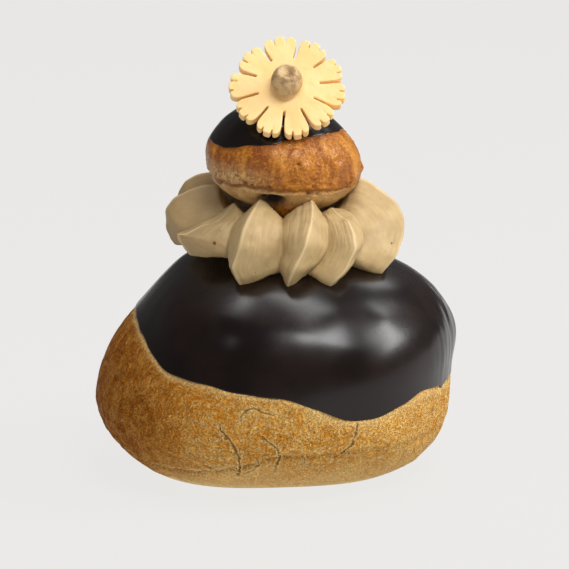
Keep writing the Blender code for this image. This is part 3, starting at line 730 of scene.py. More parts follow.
def small_bun(sizes):
    azimuth = columns_round(SMALL_COLUMNS)
    edge = small_edge_climb(azimuth)
    climbs = bun_climbs(SMALL_ENDS, edge + SMALL_COVERED, SMALL_ROWS, SMALL_HIDDEN_ROWS)
    points = small_surface(azimuth, climbs)
    relief, masks = small_relief(points, azimuth)
    under_coat = step_up(*SMALL_SINK_CLIMBS, climbs - edge)
    relief = sizes.crust_relief * relief * (1 - under_coat) - SMALL_SINK * under_coat
    points = points + outward_normals(points) * relief[..., None]
    masks["rim"] = bump((climbs - edge + 1) / 3)
    low, high = (SMALL_X, 0, SMALL_BOTTOM), (SMALL_X, 0, SMALL_TOP)
    return closed_surface("crust_small", points, low, high, masks)


def flower_axes():
    """Right, up and outward directions of the leaning flower."""
    outward = Vector((0, -cos_deg(FLOWER_ELEVATION), sin_deg(FLOWER_ELEVATION)))
    right = Vector((1, 0, 0))
    return right, outward.cross(right), outward


def seated(points):
    """The small coat's points, raised to the flower's back where a blob holds the flower."""
    _, up, outward = flower_axes()
    seat = np.array(FLOWER_CENTRE - outward * FLOWER_THICKNESS - up * SEAT_DROP)
    to_back = (seat - points) @ np.array(outward)
    on_back = points + np.array(outward) * to_back[..., None]
    aside = np.linalg.norm(on_back - seat, axis=-1)
    raised = to_back * bump((aside / SEAT_RADIUS) ** 2)
    pressed = np.maximum(to_back, SEAT_THINNEST - SMALL_COAT_THICKNESS)
    moved = np.where(to_back > 0, raised, pressed)
    return points + np.array(outward) * moved[..., None]


def small_coat(sizes):
    azimuth = columns_round(SMALL_COAT_COLUMNS)
    edge = small_edge_climb(azimuth)

    def thickness(crust):
        return sizes.small_coat_thickness + grain(crust, SMALL_COAT_GRAIN)

    rings = coat_rings(
        azimuth,
        edge,
        small_surface,
        SMALL_COAT_ROWS,
        thickness,
        SMALL_COAT_SWELL,
        SMALL_COAT_SINK,
        seated,
    )
    top = tuple(rings[-1].mean(0))
    return closed_surface("coat_small", rings, (SMALL_X, 0, SMALL_TOP - SMALL_COAT_SINK), top)


# Meshes.


def closed_surface(name, rings, first, last, masks=None):
    """A smooth closed piece from rings of points and a pole beyond each end, facing outwards."""
    rows, columns, _ = rings.shape
    points = np.concatenate([rings.reshape(-1, 3), [first, last]])
    row = (np.arange(rows - 1) * columns)[:, None]
    here = np.arange(columns)
    after = (here + 1) % columns
    quads = np.stack(
        [row + here, row + after, row + columns + after, row + columns + here], -1
    ).reshape(-1, 4)
    first_at, last_at, top = rows * columns, rows * columns + 1, (rows - 1) * columns
    fans = [(first_at, int(b), int(a)) for a, b in zip(here, after)]
    fans += [(last_at, int(top + a), int(top + b)) for a, b in zip(here, after)]
    mesh = bpy.data.meshes.new(name)
    mesh.from_pydata(points.tolist(), [], quads.tolist() + fans)
    for mask, values in (masks or {}).items():
        layer = mesh.attributes.new(mask, "FLOAT", "POINT")
        layer.data.foreach_set("value", np.append(values.reshape(-1), [0.0, 0.0]))
    return finished(name, mesh)


def finished(name, mesh):
    """The mesh as a smooth-shaded piece in the scene."""
    mesh.shade_smooth()
    mesh.validate()
    piece = bpy.data.objects.new(name, mesh)
    bpy.context.scene.collection.objects.link(piece)
    return piece


def mesh_vectors(mesh, kind):
    """The places, co, or the directions, normal, of a mesh's points."""
    vectors = np.empty(len(mesh.vertices) * 3)
    mesh.vertices.foreach_get(kind, vectors)
    return vectors.reshape(-1, 3)


def set_mesh_points(mesh, points):
    mesh.vertices.foreach_set("co", np.asarray(points, dtype=float).reshape(-1))
    mesh.update()


# Node trees.


class Value:
    """A node's output. A sum or product of values adds a math node to their tree."""

    def __init__(self, nodes, socket):
        self.nodes, self.socket = nodes, socket

    def __add__(self, other):
        return self.nodes.math("ADD", self, other)

    def __sub__(self, other):
        return self.nodes.math("SUBTRACT", self, other)

    def __rsub__(self, other):
        return self.nodes.math("SUBTRACT", other, self)

    def __mul__(self, other):
        return self.nodes.math("MULTIPLY", self, other)

    def __truediv__(self, other):
        return self.nodes.math("DIVIDE", self, other)

    def __pow__(self, other):
        return self.nodes.math("POWER", self, other)

    def __abs__(self):
        return self.nodes.math("ABSOLUTE", self)


def rgba(colour):
    """A colour as a socket takes it. The value of a node stays as it is."""
    return colour if isinstance(colour, Value) else (*colour[:3], 1.0)


class Nodes:
    """Adds nodes to a tree and links them: each call gives back the new node's output."""

    def __init__(self, tree):
        self.tree = tree

    def add(self, kind, inputs=None, out=0, **settings):
        node = self.tree.nodes.new(kind)
        for setting, value in settings.items():
            setattr(node, setting, value)
        for key, value in (inputs or {}).items():
            if isinstance(value, Value):
                self.tree.links.new(value.socket, node.inputs[key])
            else:
                node.inputs[key].default_value = value
        return Value(self, node.outputs[out])

    def math(self, operation, a, b=0.0):
        return self.add("ShaderNodeMath", {0: a, 1: b}, operation=operation)

    def axis(self, vector, axis):
        return self.add("ShaderNodeSeparateXYZ", {0: vector}, out=axis)

    def noise(self, vector, size, detail, roughness=0.55, distortion=0.0):
        inputs = {
            "Vector": vector,
            "Scale": 1 / size,
            "Detail": detail,
            "Roughness": roughness,
            "Distortion": distortion,
        }
        return self.add("ShaderNodeTexNoise", inputs)

    def range(self, value, low, high, to_low=0.0, to_high=1.0, steps="SMOOTHSTEP"):
        inputs = {"Value": value, 1: low, 2: high, 3: to_low, 4: to_high}
        return self.add("ShaderNodeMapRange", inputs, interpolation_type=steps)

    def creases(self, place, size, width):
        """Thin wandering lines, 1 in them and 0 between, as on wrinkled skin."""
        off = abs(self.noise(place, size, 2, 0.5, 0.3) - 0.5)
        return self.range(off, 0.0, width, 1.0, 0.0)

    def mix(self, share, a, b):
        inputs = {0: share, 6: rgba(a), 7: rgba(b)}
        return self.add("ShaderNodeMix", inputs, out=2, data_type="RGBA")

    def painted(self, base, *layers):
        """The base colour under layers of (share, colour)."""
        for share, colour in layers:
            base = self.mix(share, base, colour)
        return base

    def attribute(self, name):
        return self.add("ShaderNodeAttribute", out=2, attribute_name=name)

    def bump(self, height, distance, strength=1.0):
        inputs = {"Height": height, "Distance": distance, "Strength": strength}
        return self.add("ShaderNodeBump", inputs)


# Materials.


def new_material(name, constants):
    """A material with a Principled shader, these constant inputs set on its own sockets."""
    material = bpy.data.materials.new(name)
    material.use_nodes = True
    shader = material.node_tree.nodes["Principled BSDF"]
    for key, value in constants.items():
        shader.inputs[key].default_value = value
    nodes = Nodes(material.node_tree)
    place = nodes.add("ShaderNodeTexCoord", out="Object")

    def link(**values):
        for key, value in values.items():
            material.node_tree.links.new(value.socket, shader.inputs[key.replace("_", " ")])

    return material, nodes, place, link


def crust_material(colours):
    """Dry golden crust: wrinkled and mottled, browner on the left, paler at the rim and foot, with
    painted shade in its cracks, pits and fold.
    """
    material, nodes, place, link = new_material("baked_crust", {"Specular IOR Level": 0.06})
    toasted, brown = colours.crust_toasted, colours.crust_brown
    pale, dark = colours.crust_pale, colours.crack
    broad = nodes.noise(place, 9 * MM, 3)
    patches = nodes.noise(place, 3.4 * MM, 4, 0.65, 0.6)
    speckle = nodes.noise(place, 0.6 * MM, 3, 0.75)
    wrinkles = nodes.creases(place, 1.7 * MM, 0.05)
    fine_wrinkles = nodes.creases(place, 0.85 * MM, 0.045)
    side, up = nodes.axis(place, 0), nodes.axis(place, 2)
    left = nodes.range(side, -10 * MM, -35 * MM)
    low = nodes.range(up, 13 * MM, 2 * MM, 0.0, 0.5) * (1.0 - left)
    toasting = nodes.range(side, 26 * MM, -12 * MM, 0.0, 0.35)
    toasting = toasting + nodes.range(patches, 0.46, 0.58, 0.0, 0.75)
    toasting = toasting + nodes.range(broad, 0.4, 0.65, -0.15, 0.45)
    fleck = nodes.mix(left, pale, toasted)
    shade = nodes.mix(left, nodes.mix(0.55, toasted, brown), brown)
    spots = nodes.range(nodes.noise(place, 1.6 * MM, 3, 0.6), 0.57, 0.66, 0.0, 0.75)
    # The cracks: a thin line of painted shade, its edges jagged, between two pale lips.
    jag = (nodes.noise(place, 1.2 * MM, 4, 0.75) - 0.5) * 2.2
    across = abs(nodes.attribute("crack_across") + jag)
    strength = nodes.attribute("crack_strength")
    lip = nodes.range(across, 0.8, 0.45) * nodes.range(across, 0.2, 0.4)
    lip = lip * nodes.range(strength, 0.0, 0.5, 0.0, 0.8)
    line = nodes.range(across, 0.27, 0.08) * nodes.range(strength, 0.1, 0.8, 0.0, 0.62)
    line = line * nodes.range(patches, 0.36, 0.5, 0.35, 1.0)
    base = nodes.painted(
        colours.crust,
        (nodes.range(toasting, 0.0, 1.0, steps="LINEAR"), toasted),
        (left * nodes.range(patches, 0.36, 0.6, 0.6, 1.0), brown),
        (nodes.range(speckle, 0.52, 0.64, 0.0, 0.5), fleck),
        (nodes.range(speckle, 0.48, 0.38, 0.0, 0.6), shade),
        (wrinkles * nodes.range(left, 0.0, 1.0, 0.8, 0.45), fleck),
        (spots * left, nodes.mix(0.5, brown, dark)),
        (fine_wrinkles * 0.6, shade),
        (low, pale),
        (nodes.attribute("rim") * 0.6, pale),
        (nodes.attribute("foot") * 0.8, pale),
        # Painted shade in the pits and along the fold's line.
        (nodes.attribute("crack") * 0.7, dark),
        (lip, fleck),
        (line, dark),
    )
    height = speckle + wrinkles * 0.4 - fine_wrinkles * 0.3 - line
    rough = nodes.range(patches, 0.3, 0.7, 0.55, 0.75)
    link(Base_Color=base, Roughness=rough, Normal=nodes.bump(height, 0.7 * MM))
    return material


def amber_material(colours):
    """Shiny amber crust of the small bun, reddish in patches, pale tan underneath, with painted
    shade in its pits, its crease and its deep dent.
    """
    material, nodes, place, link = new_material(
        "amber_glaze", {"Specular IOR Level": 0.3, "Coat Weight": 0.13, "Coat Roughness": 0.15}
    )
    brown, bright, pale = colours.amber_brown, colours.amber_gold, colours.amber_pale
    upright = nodes.add(
        "ShaderNodeVectorMath", {0: place, 1: (1.0, 1.0, 0.35)}, operation="MULTIPLY"
    )
    streaks = nodes.noise(upright, 4.2 * MM, 3, 0.55, 0.5)
    patches = nodes.noise(place, 2.6 * MM, 4, 0.6, 0.5)
    speckle = nodes.noise(place, 0.6 * MM, 3, 0.65)
    wrinkles = nodes.creases(place, 1.3 * MM, 0.035)
    left = nodes.range(nodes.axis(place, 0), 6 * MM, -13 * MM)
    browning = left * 0.4 + nodes.range(streaks, 0.44, 0.62, 0.0, 0.8)
    browning = browning * nodes.range(patches, 0.36, 0.58, 0.5, 1.0)
    band = nodes.attribute("pale_band")
    base = nodes.painted(
        colours.amber,
        (nodes.range(browning, 0.0, 1.0, steps="LINEAR"), brown),
        (nodes.range(streaks, 0.47, 0.36, 0.0, 0.7), bright),
        (nodes.range(speckle, 0.52, 0.64, 0.0, 0.5), bright),
        (nodes.range(speckle, 0.46, 0.36, 0.0, 0.45), brown),
        (band * 0.75, pale),
        (band * nodes.range(speckle, 0.46, 0.38), brown),
        (wrinkles * 0.2, brown),
        (nodes.attribute("foot") * nodes.range(patches, 0.62, 0.4, 0.5, 0.85), pale),
        (nodes.attribute("rim") * 0.6, brown),
        # Painted shade in the pits and the crease, and a near-black painted shadow in the dent
        # above the nub.
        (nodes.attribute("crack") * 0.9, colours.crack),
        (nodes.attribute("hollow_and_painted_shadow"), colours.chocolate),
    )
    height = patches + speckle * 0.6 - wrinkles * 0.3
    rough = nodes.range(patches, 0.3, 0.7, 0.3, 0.5)
    link(Base_Color=base, Roughness=rough, Normal=nodes.bump(height, 0.4 * MM, 0.8))
    return material


def chocolate_material(name, colour, roughness):
    """Dark chocolate: satin, its skin all but smooth."""
    material, nodes, place, link = new_material(name, {"Specular IOR Level": 0.42})
    cloud = nodes.noise(place, 12 * MM, 2)
    specks = nodes.noise(place, 0.7 * MM, 2)
    lighter = (colour[0] * 1.7, colour[1] * 1.5, colour[2] * 1.4)
    base = nodes.mix(nodes.range(cloud, 0.35, 0.7), colour, lighter)
    rough = nodes.range(cloud, 0.3, 0.7, roughness - 0.03, roughness + 0.04)
    link(Base_Color=base, Roughness=rough, Normal=nodes.bump(specks, 0.01 * MM, 0.5))
    return material


def cream_material(colours):
    """Coffee cream: streaked along the way it was piped; its crests paler, partly a painted
    highlight; painted shade on its left; air holes painted dark as shade.
    """
    material, nodes, place, link = new_material(
        "piped_cream",
        {
            "Specular IOR Level": 0.3,
            "Subsurface Weight": 0.1,
            "Subsurface Radius": (2.0 * MM, 1.2 * MM, 0.6 * MM),
            "Subsurface Scale": 1.0,
        },
    )
    piped = nodes.add("ShaderNodeAttribute", out=1, attribute_name="piping")
    streaks = nodes.noise(piped, 1.0, 3, 0.6)
    cloud = nodes.noise(place, 5 * MM, 3)
    bubbles = nodes.add(
        "ShaderNodeTexVoronoi", {"Vector": place, "Scale": 1 / (2.6 * MM), "Randomness": 1.0}
    )
    # Air holes: spots painted dark as the shade in them, with a dent in the bump.
    hole = nodes.range(bubbles, 0.055, 0.035)
    for azimuth, radius, height, size in CREAM_HOLES:
        middle = tuple(at(azimuth, radius * MM, height * MM, COLLAR_X))
        away = nodes.add("ShaderNodeVectorMath", {0: place, 1: middle}, out=1, operation="DISTANCE")
        hole = nodes.math("MAXIMUM", hole, nodes.range(away, size * MM, 0.6 * size * MM))
    # Painted shade: the cream darkens towards its left, away from the light.
    left = nodes.range(nodes.axis(place, 0), -1 * MM, -22 * MM, 0.0, 0.48)
    base = nodes.painted(
        colours.cream,
        (nodes.range(cloud, 0.3, 0.7), colours.cream_deep),
        (nodes.range(streaks, 0.35, 0.7, 0.0, 0.4), colours.cream_deep),
        (left, colours.cream_shade),
        # Painted highlight along the crests, where they catch the light, partly their paler dried
        # edges.
        (nodes.range(nodes.attribute("crest"), 0.9, 1.0, 0.0, 0.7), colours.cream_pale),
        (hole * 0.85, colours.crack),
    )
    rough = nodes.range(streaks, 0.3, 0.7, 0.42, 0.55)
    link(Base_Color=base, Roughness=rough, Normal=nodes.bump(streaks - hole * 1.5, 0.2 * MM, 0.6))
    return material


def sugar_material(colours):
    """Pale yellow sugar paste, faintly powdery."""
    material, nodes, place, link = new_material(
        "sugar_paste",
        {
            "Specular IOR Level": 0.2,
            "Roughness": 0.6,
            "Subsurface Weight": 0.2,
            "Subsurface Radius": (1.5 * MM, 1.0 * MM, 0.4 * MM),
            "Subsurface Scale": 1.0,
        },
    )
    cloud = nodes.noise(place, 4 * MM, 4)
    powder = nodes.noise(place, 0.4 * MM, 2)
    base = nodes.mix(nodes.range(cloud, 0.3, 0.7), colours.sugar, colours.sugar_deep)
    link(Base_Color=base, Normal=nodes.bump(powder, 0.08 * MM, 0.5))
    return material


def bead_material(colours):
    """Tan sugar bead with a fine sparkle of crystals."""
    material, nodes, place, link = new_material("tan_bead", {"Specular IOR Level": 0.5})
    cloud = nodes.noise(place, 2 * MM, 4)
    crystals = nodes.noise(place, 0.3 * MM, 2)
    base = nodes.painted(
        colours.bead,
        (nodes.range(cloud, 0.35, 0.65), colours.bead_pale),
        (nodes.range(crystals, 0.58, 0.7, 0, 0.6), colours.sugar),
    )
    rough = nodes.range(crystals, 0.4, 0.7, 0.55, 0.3)
    link(Base_Color=base, Roughness=rough, Normal=nodes.bump(crystals, 0.15 * MM, 0.7))
    return material


def floor_material(colours):
    """A pale floor that is nearly as bright as the backdrop and takes a faint shadow."""
    constants = {
        "Roughness": 0.9,
        "Specular IOR Level": 0.1,
        "Base Color": rgba([FLOOR_SHADE * part for part in colours.floor]),
        "Emission Color": rgba(colours.floor),
        "Emission Strength": FLOOR_GLOW,
    }
    return new_material("floor", constants)[0]


# Geometry Nodes.


def new_geometry_tree(name, values):
    """A geometry tree, and the named inputs that it is given, each with its value as default."""
    tree = bpy.data.node_groups.new(name, "GeometryNodeTree")
    for direction in ("INPUT", "OUTPUT"):
        tree.interface.new_socket("Geometry", in_out=direction, socket_type="NodeSocketGeometry")
    for label, value in values.items():
        kind = "NodeSocket" + type(value).__name__.capitalize()
        socket = tree.interface.new_socket(label, in_out="INPUT", socket_type=kind)
        socket.default_value = value
    nodes = Nodes(tree)
    group_in = tree.nodes.new("NodeGroupInput")
    return tree, nodes, {label: Value(nodes, group_in.outputs[label]) for label in values}


def unit_grid(nodes, given):
    """A flat grid of Rows by Columns points, and the share of the way along each: 0 to 1."""
    inputs = {"Size X": 1.0, "Size Y": 1.0}
    inputs |= {"Vertices X": given["Rows"], "Vertices Y": given["Columns"]}
    grid = nodes.add("GeometryNodeMeshGrid", inputs)
    place = nodes.add("GeometryNodeInputPosition")
    return grid, nodes.axis(place, 0) + 0.5, nodes.axis(place, 1) + 0.5


def welded(nodes, geometry):
    inputs = {"Geometry": geometry, "Distance": WELD_DISTANCE}
    return nodes.add("GeometryNodeMergeByDistance", inputs)


def moved_to(nodes, grid, x, y, z):
    """The grid's points at these places, those that meet made one."""
    target = nodes.add("ShaderNodeCombineXYZ", {0: x, 1: y, 2: z})
    return welded(
        nodes, nodes.add("GeometryNodeSetPosition", {"Geometry": grid, "Position": target})
    )


def end_tree(nodes, geometry, material):
    """Ends the tree: what it makes is realized and takes the piece's material."""
    geometry = nodes.add("GeometryNodeRealizeInstances", {"Geometry": geometry})
    geometry = nodes.add("GeometryNodeSetMaterial", {"Geometry": geometry, "Material": material})
    group_out = nodes.tree.nodes.new("NodeGroupOutput")
    nodes.tree.links.new(geometry.socket, group_out.inputs[0])


def grown_mesh(name, tree, values):
    """The plain mesh that a geometry tree makes with these inputs, starting from one point."""
    start = bpy.data.meshes.new("start")
    start.from_pydata([(0, 0, 0)], [], [])
    helper = bpy.data.objects.new(name + "_start", start)
    bpy.context.scene.collection.objects.link(helper)
    modifier = helper.modifiers.new(name, "NODES")
    modifier.node_group = tree
    identifiers = {item.name: item.identifier for item in tree.interface.items_tree}
    for label, value in values.items():
        modifier[identifiers[label]] = value
    graph = bpy.context.evaluated_depsgraph_get()
    mesh = bpy.data.meshes.new_from_object(helper.evaluated_get(graph))
    helper.modifiers.remove(modifier)
    bpy.data.objects.remove(helper)
    mesh.name = name
    return mesh


def curve_of(nodes, value, points, handles="AUTO_CLAMPED"):
    """A curve through (position, value) points, read at value; positions run from 0 to 1."""
    output = nodes.add("ShaderNodeFloatCurve", {"Value": value})
    mapping = output.socket.node.mapping
    mapping.use_clip = False
    curve = mapping.curves[0]
    while len(curve.points) < len(points):
        curve.points.new(0.5, 0.5)
    for target, (x, y) in zip(curve.points, points):
        target.location = (x, y)
        target.handle_type = handles
    mapping.update()
    return output


def profile_curve(nodes, along, column, scale):
    """One column of the collar's rows as a curve along the profile, in metres."""
    points = [(row[0], row[column] / scale) for row in COLLAR_ROWS]
    return curve_of(nodes, along, points) * (scale * MM)


def azimuth_curve(nodes, around, level):
    """The azimuth round the collar at the peaks, bellies, turns or tips: level 0, 1, 2 or 3."""
    count, spread = len(RIDGES), 200
    turns = [(RIDGES[-1][IN_VALLEY][level] - 360, 0)]
    for index, ridge in enumerate(RIDGES):
        turns.append((ridge[ON_CREST][level], (index + 0.5) / count))
        turns.append((ridge[IN_VALLEY][level], (index + 1) / count))
    drift = [(place, (azimuth - 360 * place + spread) / spread) for azimuth, place in turns]
    curve = curve_of(nodes, around, drift, handles="VECTOR")
    return curve * float(spread) - float(spread) + around * 360.0


def crest_curve(nodes, around, column):
    """One number of each ridge as a curve round the collar."""
    count, (low, high) = len(RIDGES), RIDGE_RANGES[column]
    shares = [(ridge[column] - low) / (high - low) for ridge in RIDGES]
    ends = (shares[0] + shares[-1]) / 2
    middles = [((index + 0.5) / count, share) for index, share in enumerate(shares)]
    curve = curve_of(nodes, around, [(0, ends), *middles, (1, ends)])
    return curve * (high - low) + low


def valley_curve(nodes, around, in_valley, on_crest=None):
    """Two columns of the ridges, in metres, as a curve over valleys and crests; no column is 0."""
    count, scale = len(RIDGES), 10
    points = [(0, RIDGES[-1][in_valley] / scale)]
    for index, ridge in enumerate(RIDGES):
        crest = ridge[on_crest] if on_crest else 0
        points.append(((index + 0.5) / count, crest / scale))
        points.append(((index + 1) / count, ridge[in_valley] / scale))
    return curve_of(nodes, around, points) * (scale * MM)


def stretch(nodes, along, come_in, go_out):
    """1 on a stretch of the profile and 0 off it."""
    return nodes.range(along, *come_in) - nodes.range(along, *go_out)


def collar_tree(values):
    """A star-nozzle rosette: a grid bent round the axis, its ridges leaning as they fall."""
    tree, nodes, given = new_geometry_tree("piped_rosette", values)
    grid, along, around = unit_grid(nodes, given)
    # Each ridge rises from 0 in the valleys beside it to 1 on its crest.
    turn = nodes.math("FRACT", around * given["Ridges"])
    up_facet = 1.0 - abs(turn - 0.5) * 2.0
    rise = curve_of(nodes, up_facet, FACET) ** given["Sharpness"]
    # The ridges lean from place to place as they fall, fastest just below their peaks.
    peak, belly, turned_in, tip = (azimuth_curve(nodes, around, level) for level in range(4))
    to_belly = 1.0 - nodes.range(along, BELLY, PEAK, steps="LINEAR") ** LEAN_EASE
    to_turn, to_tip = (nodes.range(along, *ends) for ends in LEAN_STRETCHES)
    azimuth = peak + (belly - peak) * to_belly
    azimuth = azimuth + (turned_in - belly) * to_turn
    azimuth = azimuth + (tip - turned_in) * to_tip
    crest_radius, crest_height, valley_radius, valley_height = (
        profile_curve(nodes, along, column, scale)
        for column, scale in enumerate((RADIUS_SCALE, HEIGHT_SCALE) * 2, 1)
    )
    reach = crest_curve(nodes, around, REACH)
    slump = crest_curve(nodes, around, SLUMP) * MM
    crest_height = crest_height - slump * stretch(nodes, along, *SLUMP_STRETCH)
    drop = crest_curve(nodes, around, PEAK_DROP) * MM
    crest_height = crest_height - drop * stretch(nodes, along, *DROP_STRETCH)
    lift = valley_curve(nodes, around, VALLEY_LIFT, CREST_LIFT) * nodes.range(along, PEAK, TIP)
    inset = valley_curve(nodes, around, INSET) * stretch(nodes, along, *INSET_STRETCH)
    valley_radius = valley_radius - inset
    radius = valley_radius + (crest_radius * reach - valley_radius) * rise
    height = valley_height + (crest_height - valley_height) * rise + lift
    angle = nodes.math("RADIANS", azimuth)
    x = radius * nodes.math("SINE", angle) + given["Axis X"]
    y = radius * nodes.math("COSINE", angle) * -1.0
    # The flow of the piping, kept for the streaks: across the ridges, and along them.
    flow = {0: around * PIPING_ACROSS, 1: along * PIPING_ALONG, 2: 0.0}
    flow = nodes.add("ShaderNodeCombineXYZ", flow)
    for label, kind, value in (("piping", "FLOAT_VECTOR", flow), ("crest", "FLOAT", up_facet)):
        grid = nodes.add(
            "GeometryNodeStoreNamedAttribute",
            {"Geometry": grid, "Name": label, "Value": value},
            data_type=kind,
            domain="POINT",
        )
    end_tree(nodes, moved_to(nodes, grid, x, y, height), given["Material"])
    return tree


def petal_curve(nodes, place, column):
    """One column of the petal's edge, read from the petal's middle, 0, to its slit, 1."""
    return curve_of(nodes, place, [(row[EDGE_PLACE], row[column]) for row in PETAL_EDGE])


def petal_value(nodes, petal, column):
    """The value in this column of the petals' list, read by the petal's number."""
    count = len(PETALS)
    points = [((i + 0.5) / count, row[column]) for i, row in enumerate(PETALS)]
    return curve_of(nodes, (petal + 0.5) / float(count), points, handles="VECTOR")


def flower_tree(values):
    """A flat flower cut from a sheet: a fan of columns that run from the middle to the edge."""
    tree, nodes, given = new_geometry_tree("cut_flower", values)
    grid, out_share, around = unit_grid(nodes, given)
    # The petal a column is in, and its place from the petal's middle: -1 and 1 are its slits.
    turned = around * given["Petals"]
    petal = nodes.math("MINIMUM", nodes.math("FLOOR", turned), len(PETALS) - 1.0)
    side = (turned - petal) * 2.0 - 1.0
    from_middle, hand = abs(side), nodes.math("SIGN", side)
    across = petal_curve(nodes, from_middle, EDGE_WIDTH) * hand
    between = (petal + (across + 1.0) * 0.5) / given["Petals"]
    first = PETALS[0][SLIT_ANGLE]
    slits = [(i / len(PETALS), (first - row[SLIT_ANGLE]) / 360) for i, row in enumerate(PETALS)]
    turn = curve_of(nodes, between, slits + [(1, 1)], handles="VECTOR")
    angle = math.radians(first) - turn * math.tau
    edge = petal_curve(nodes, from_middle, EDGE_RADIUS) * petal_value(nodes, petal, PETAL_REACH)
    # The notches vary in depth from petal to petal, and so do the slits.
    vary = nodes.math("SINE", petal * NOTCH_TURN + hand)
    edge = edge + vary * petal_curve(nodes, from_middle, EDGE_NOTCH) * NOTCH_VARIATION
    slit = nodes.math("MODULO", petal + nodes.math("GREATER_THAN", side, 0.0), given["Petals"])
    deeper = petal_value(nodes, slit, SLIT_END) - edge
    edge = edge + deeper * nodes.range(from_middle, SLIT_BEGINS, 1.0)
    radius = edge * out_share * given["Radius"]
    lift = nodes.math("SINE", petal * LIFT_TURN + 1.0) * nodes.range(
        radius / given["Radius"], LIFT_BEGINS, 1.0
    )
    lift = lift * given["Petal Lift"]
    x, y = radius * nodes.math("COSINE", angle), radius * nodes.math("SINE", angle)
    sheet = moved_to(nodes, grid, x, y, lift)
    pushed = nodes.add(
        "GeometryNodeExtrudeMesh",
        {
            "Mesh": sheet,
            "Offset": nodes.add("ShaderNodeCombineXYZ", {0: 0.0, 1: 0.0, 2: 1.0}),
            "Offset Scale": given["Thickness"] * -1.0,
            "Individual": False,
        },
    )
    joined = nodes.add("GeometryNodeJoinGeometry")
    for part in (nodes.add("GeometryNodeFlipFaces", {"Mesh": sheet}), pushed):
        tree.links.new(part.socket, joined.socket.node.inputs[0])
    end_tree(nodes, welded(nodes, joined), given["Material"])
    return tree


# Cream, flower and bead.


def height_finder(piece, start_height, direction):
    """Finds the height of a piece's surface above or below a point, from this start height."""
    faces = BVHTree.FromObject(piece, bpy.context.evaluated_depsgraph_get())

    def height_at(point):
        start = Vector((point[0], point[1], start_height))
        hit = faces.ray_cast(start, Vector((0, 0, direction)))[0]
        return hit.z if hit else None

    return height_at


def settled(points, coat, bun):
    """The cream's points, laid on the coat where they would dip into it and kept under the bun."""
    coat_height = height_finder(coat, RAY_START_ABOVE, -1)
    bun_height = height_finder(bun, RAY_START_BELOW, 1)
    for point in points:
        if point[2] < COLLAR_SETTLE_HEIGHT:
            height = coat_height(point)
            if height is not None:
                point[2] = max(point[2], height - COLLAR_COAT_OVERLAP)
        height = bun_height(point)
        if height is not None and height < SMALL_MIDDLE:
            point[2] = min(point[2], height + COLLAR_BUN_OVERLAP)
    return points


def cream_collar(sizes, material):
    values = {
        "Ridges": len(RIDGES),
        "Rows": COLLAR_GRID_ROWS,
        "Columns": RIDGE_COLUMNS * len(RIDGES) + 1,
        "Sharpness": sizes.ridge_sharpness,
        "Axis X": COLLAR_X,
        "Material": material,
    }
    mesh = grown_mesh("cream_rosette", collar_tree(values), values)
    points, normals = mesh_vectors(mesh, "co"), mesh_vectors(mesh, "normal")
    piped = np.empty(len(mesh.vertices) * 3)
    mesh.attributes["piping"].data.foreach_get("vector", piped)
    relief = PIPING_DEPTH * fractal(piped.reshape(-1, 3), 1.0, 2, PIPING_SEED)
    relief += grain(points, COLLAR_GRAIN)
    heights, radii = COLLAR_SHOWN
    shown = step_up(*heights, points[:, 2])
    shown = shown * step_up(*radii, np.hypot(points[:, 0] - COLLAR_X, points[:, 1]))
    points = points + normals * (relief * shown)[:, None]
    points = settled(points, bpy.data.objects["coat_large"], bpy.data.objects["crust_small"])
    set_mesh_points(mesh, points)
    return finished("cream_rosette", mesh)


def flower_place():
    """Matrix from the flower's own plane to its place on the small coat."""
    right, up, outward = flower_axes()
    place = Matrix((right, up, outward)).transposed().to_4x4()
    place.translation = FLOWER_CENTRE
    return place


def softened(mesh, voxel, rounds):
    """The mesh remade from small even faces, its edges rounded by a few rounds of smoothing."""
    helper = bpy.data.objects.new("softened", mesh)
    bpy.context.scene.collection.objects.link(helper)
    remesh = helper.modifiers.new("even_faces", "REMESH")
    remesh.mode = "VOXEL"
    remesh.voxel_size = voxel
    smooth = helper.modifiers.new("soft_edges", "SMOOTH")
    smooth.factor, smooth.iterations = 0.5, rounds
    graph = bpy.context.evaluated_depsgraph_get()
    result = bpy.data.meshes.new_from_object(helper.evaluated_get(graph))
    helper.modifiers.clear()
    bpy.data.objects.remove(helper)
    return result


def sugar_flower(sizes, material):
    values = {
        "Petals": len(PETALS),
        "Columns": PETAL_COLUMNS * len(PETALS) + 1,
        "Rows": FLOWER_ROWS,
        "Radius": sizes.flower_radius,
        "Thickness": sizes.flower_thickness,
        "Petal Lift": sizes.petal_lift,
        "Material": material,
    }
    mesh = grown_mesh("sugar_flower", flower_tree(values), values)
    mesh = softened(mesh, FLOWER_FACE, FLOWER_SMOOTHING)
    points, normals = mesh_vectors(mesh, "co"), mesh_vectors(mesh, "normal")
    set_mesh_points(mesh, points + normals * grain(points, FLOWER_GRAIN)[:, None])
    mesh.transform(flower_place())
    return finished("sugar_flower", mesh)


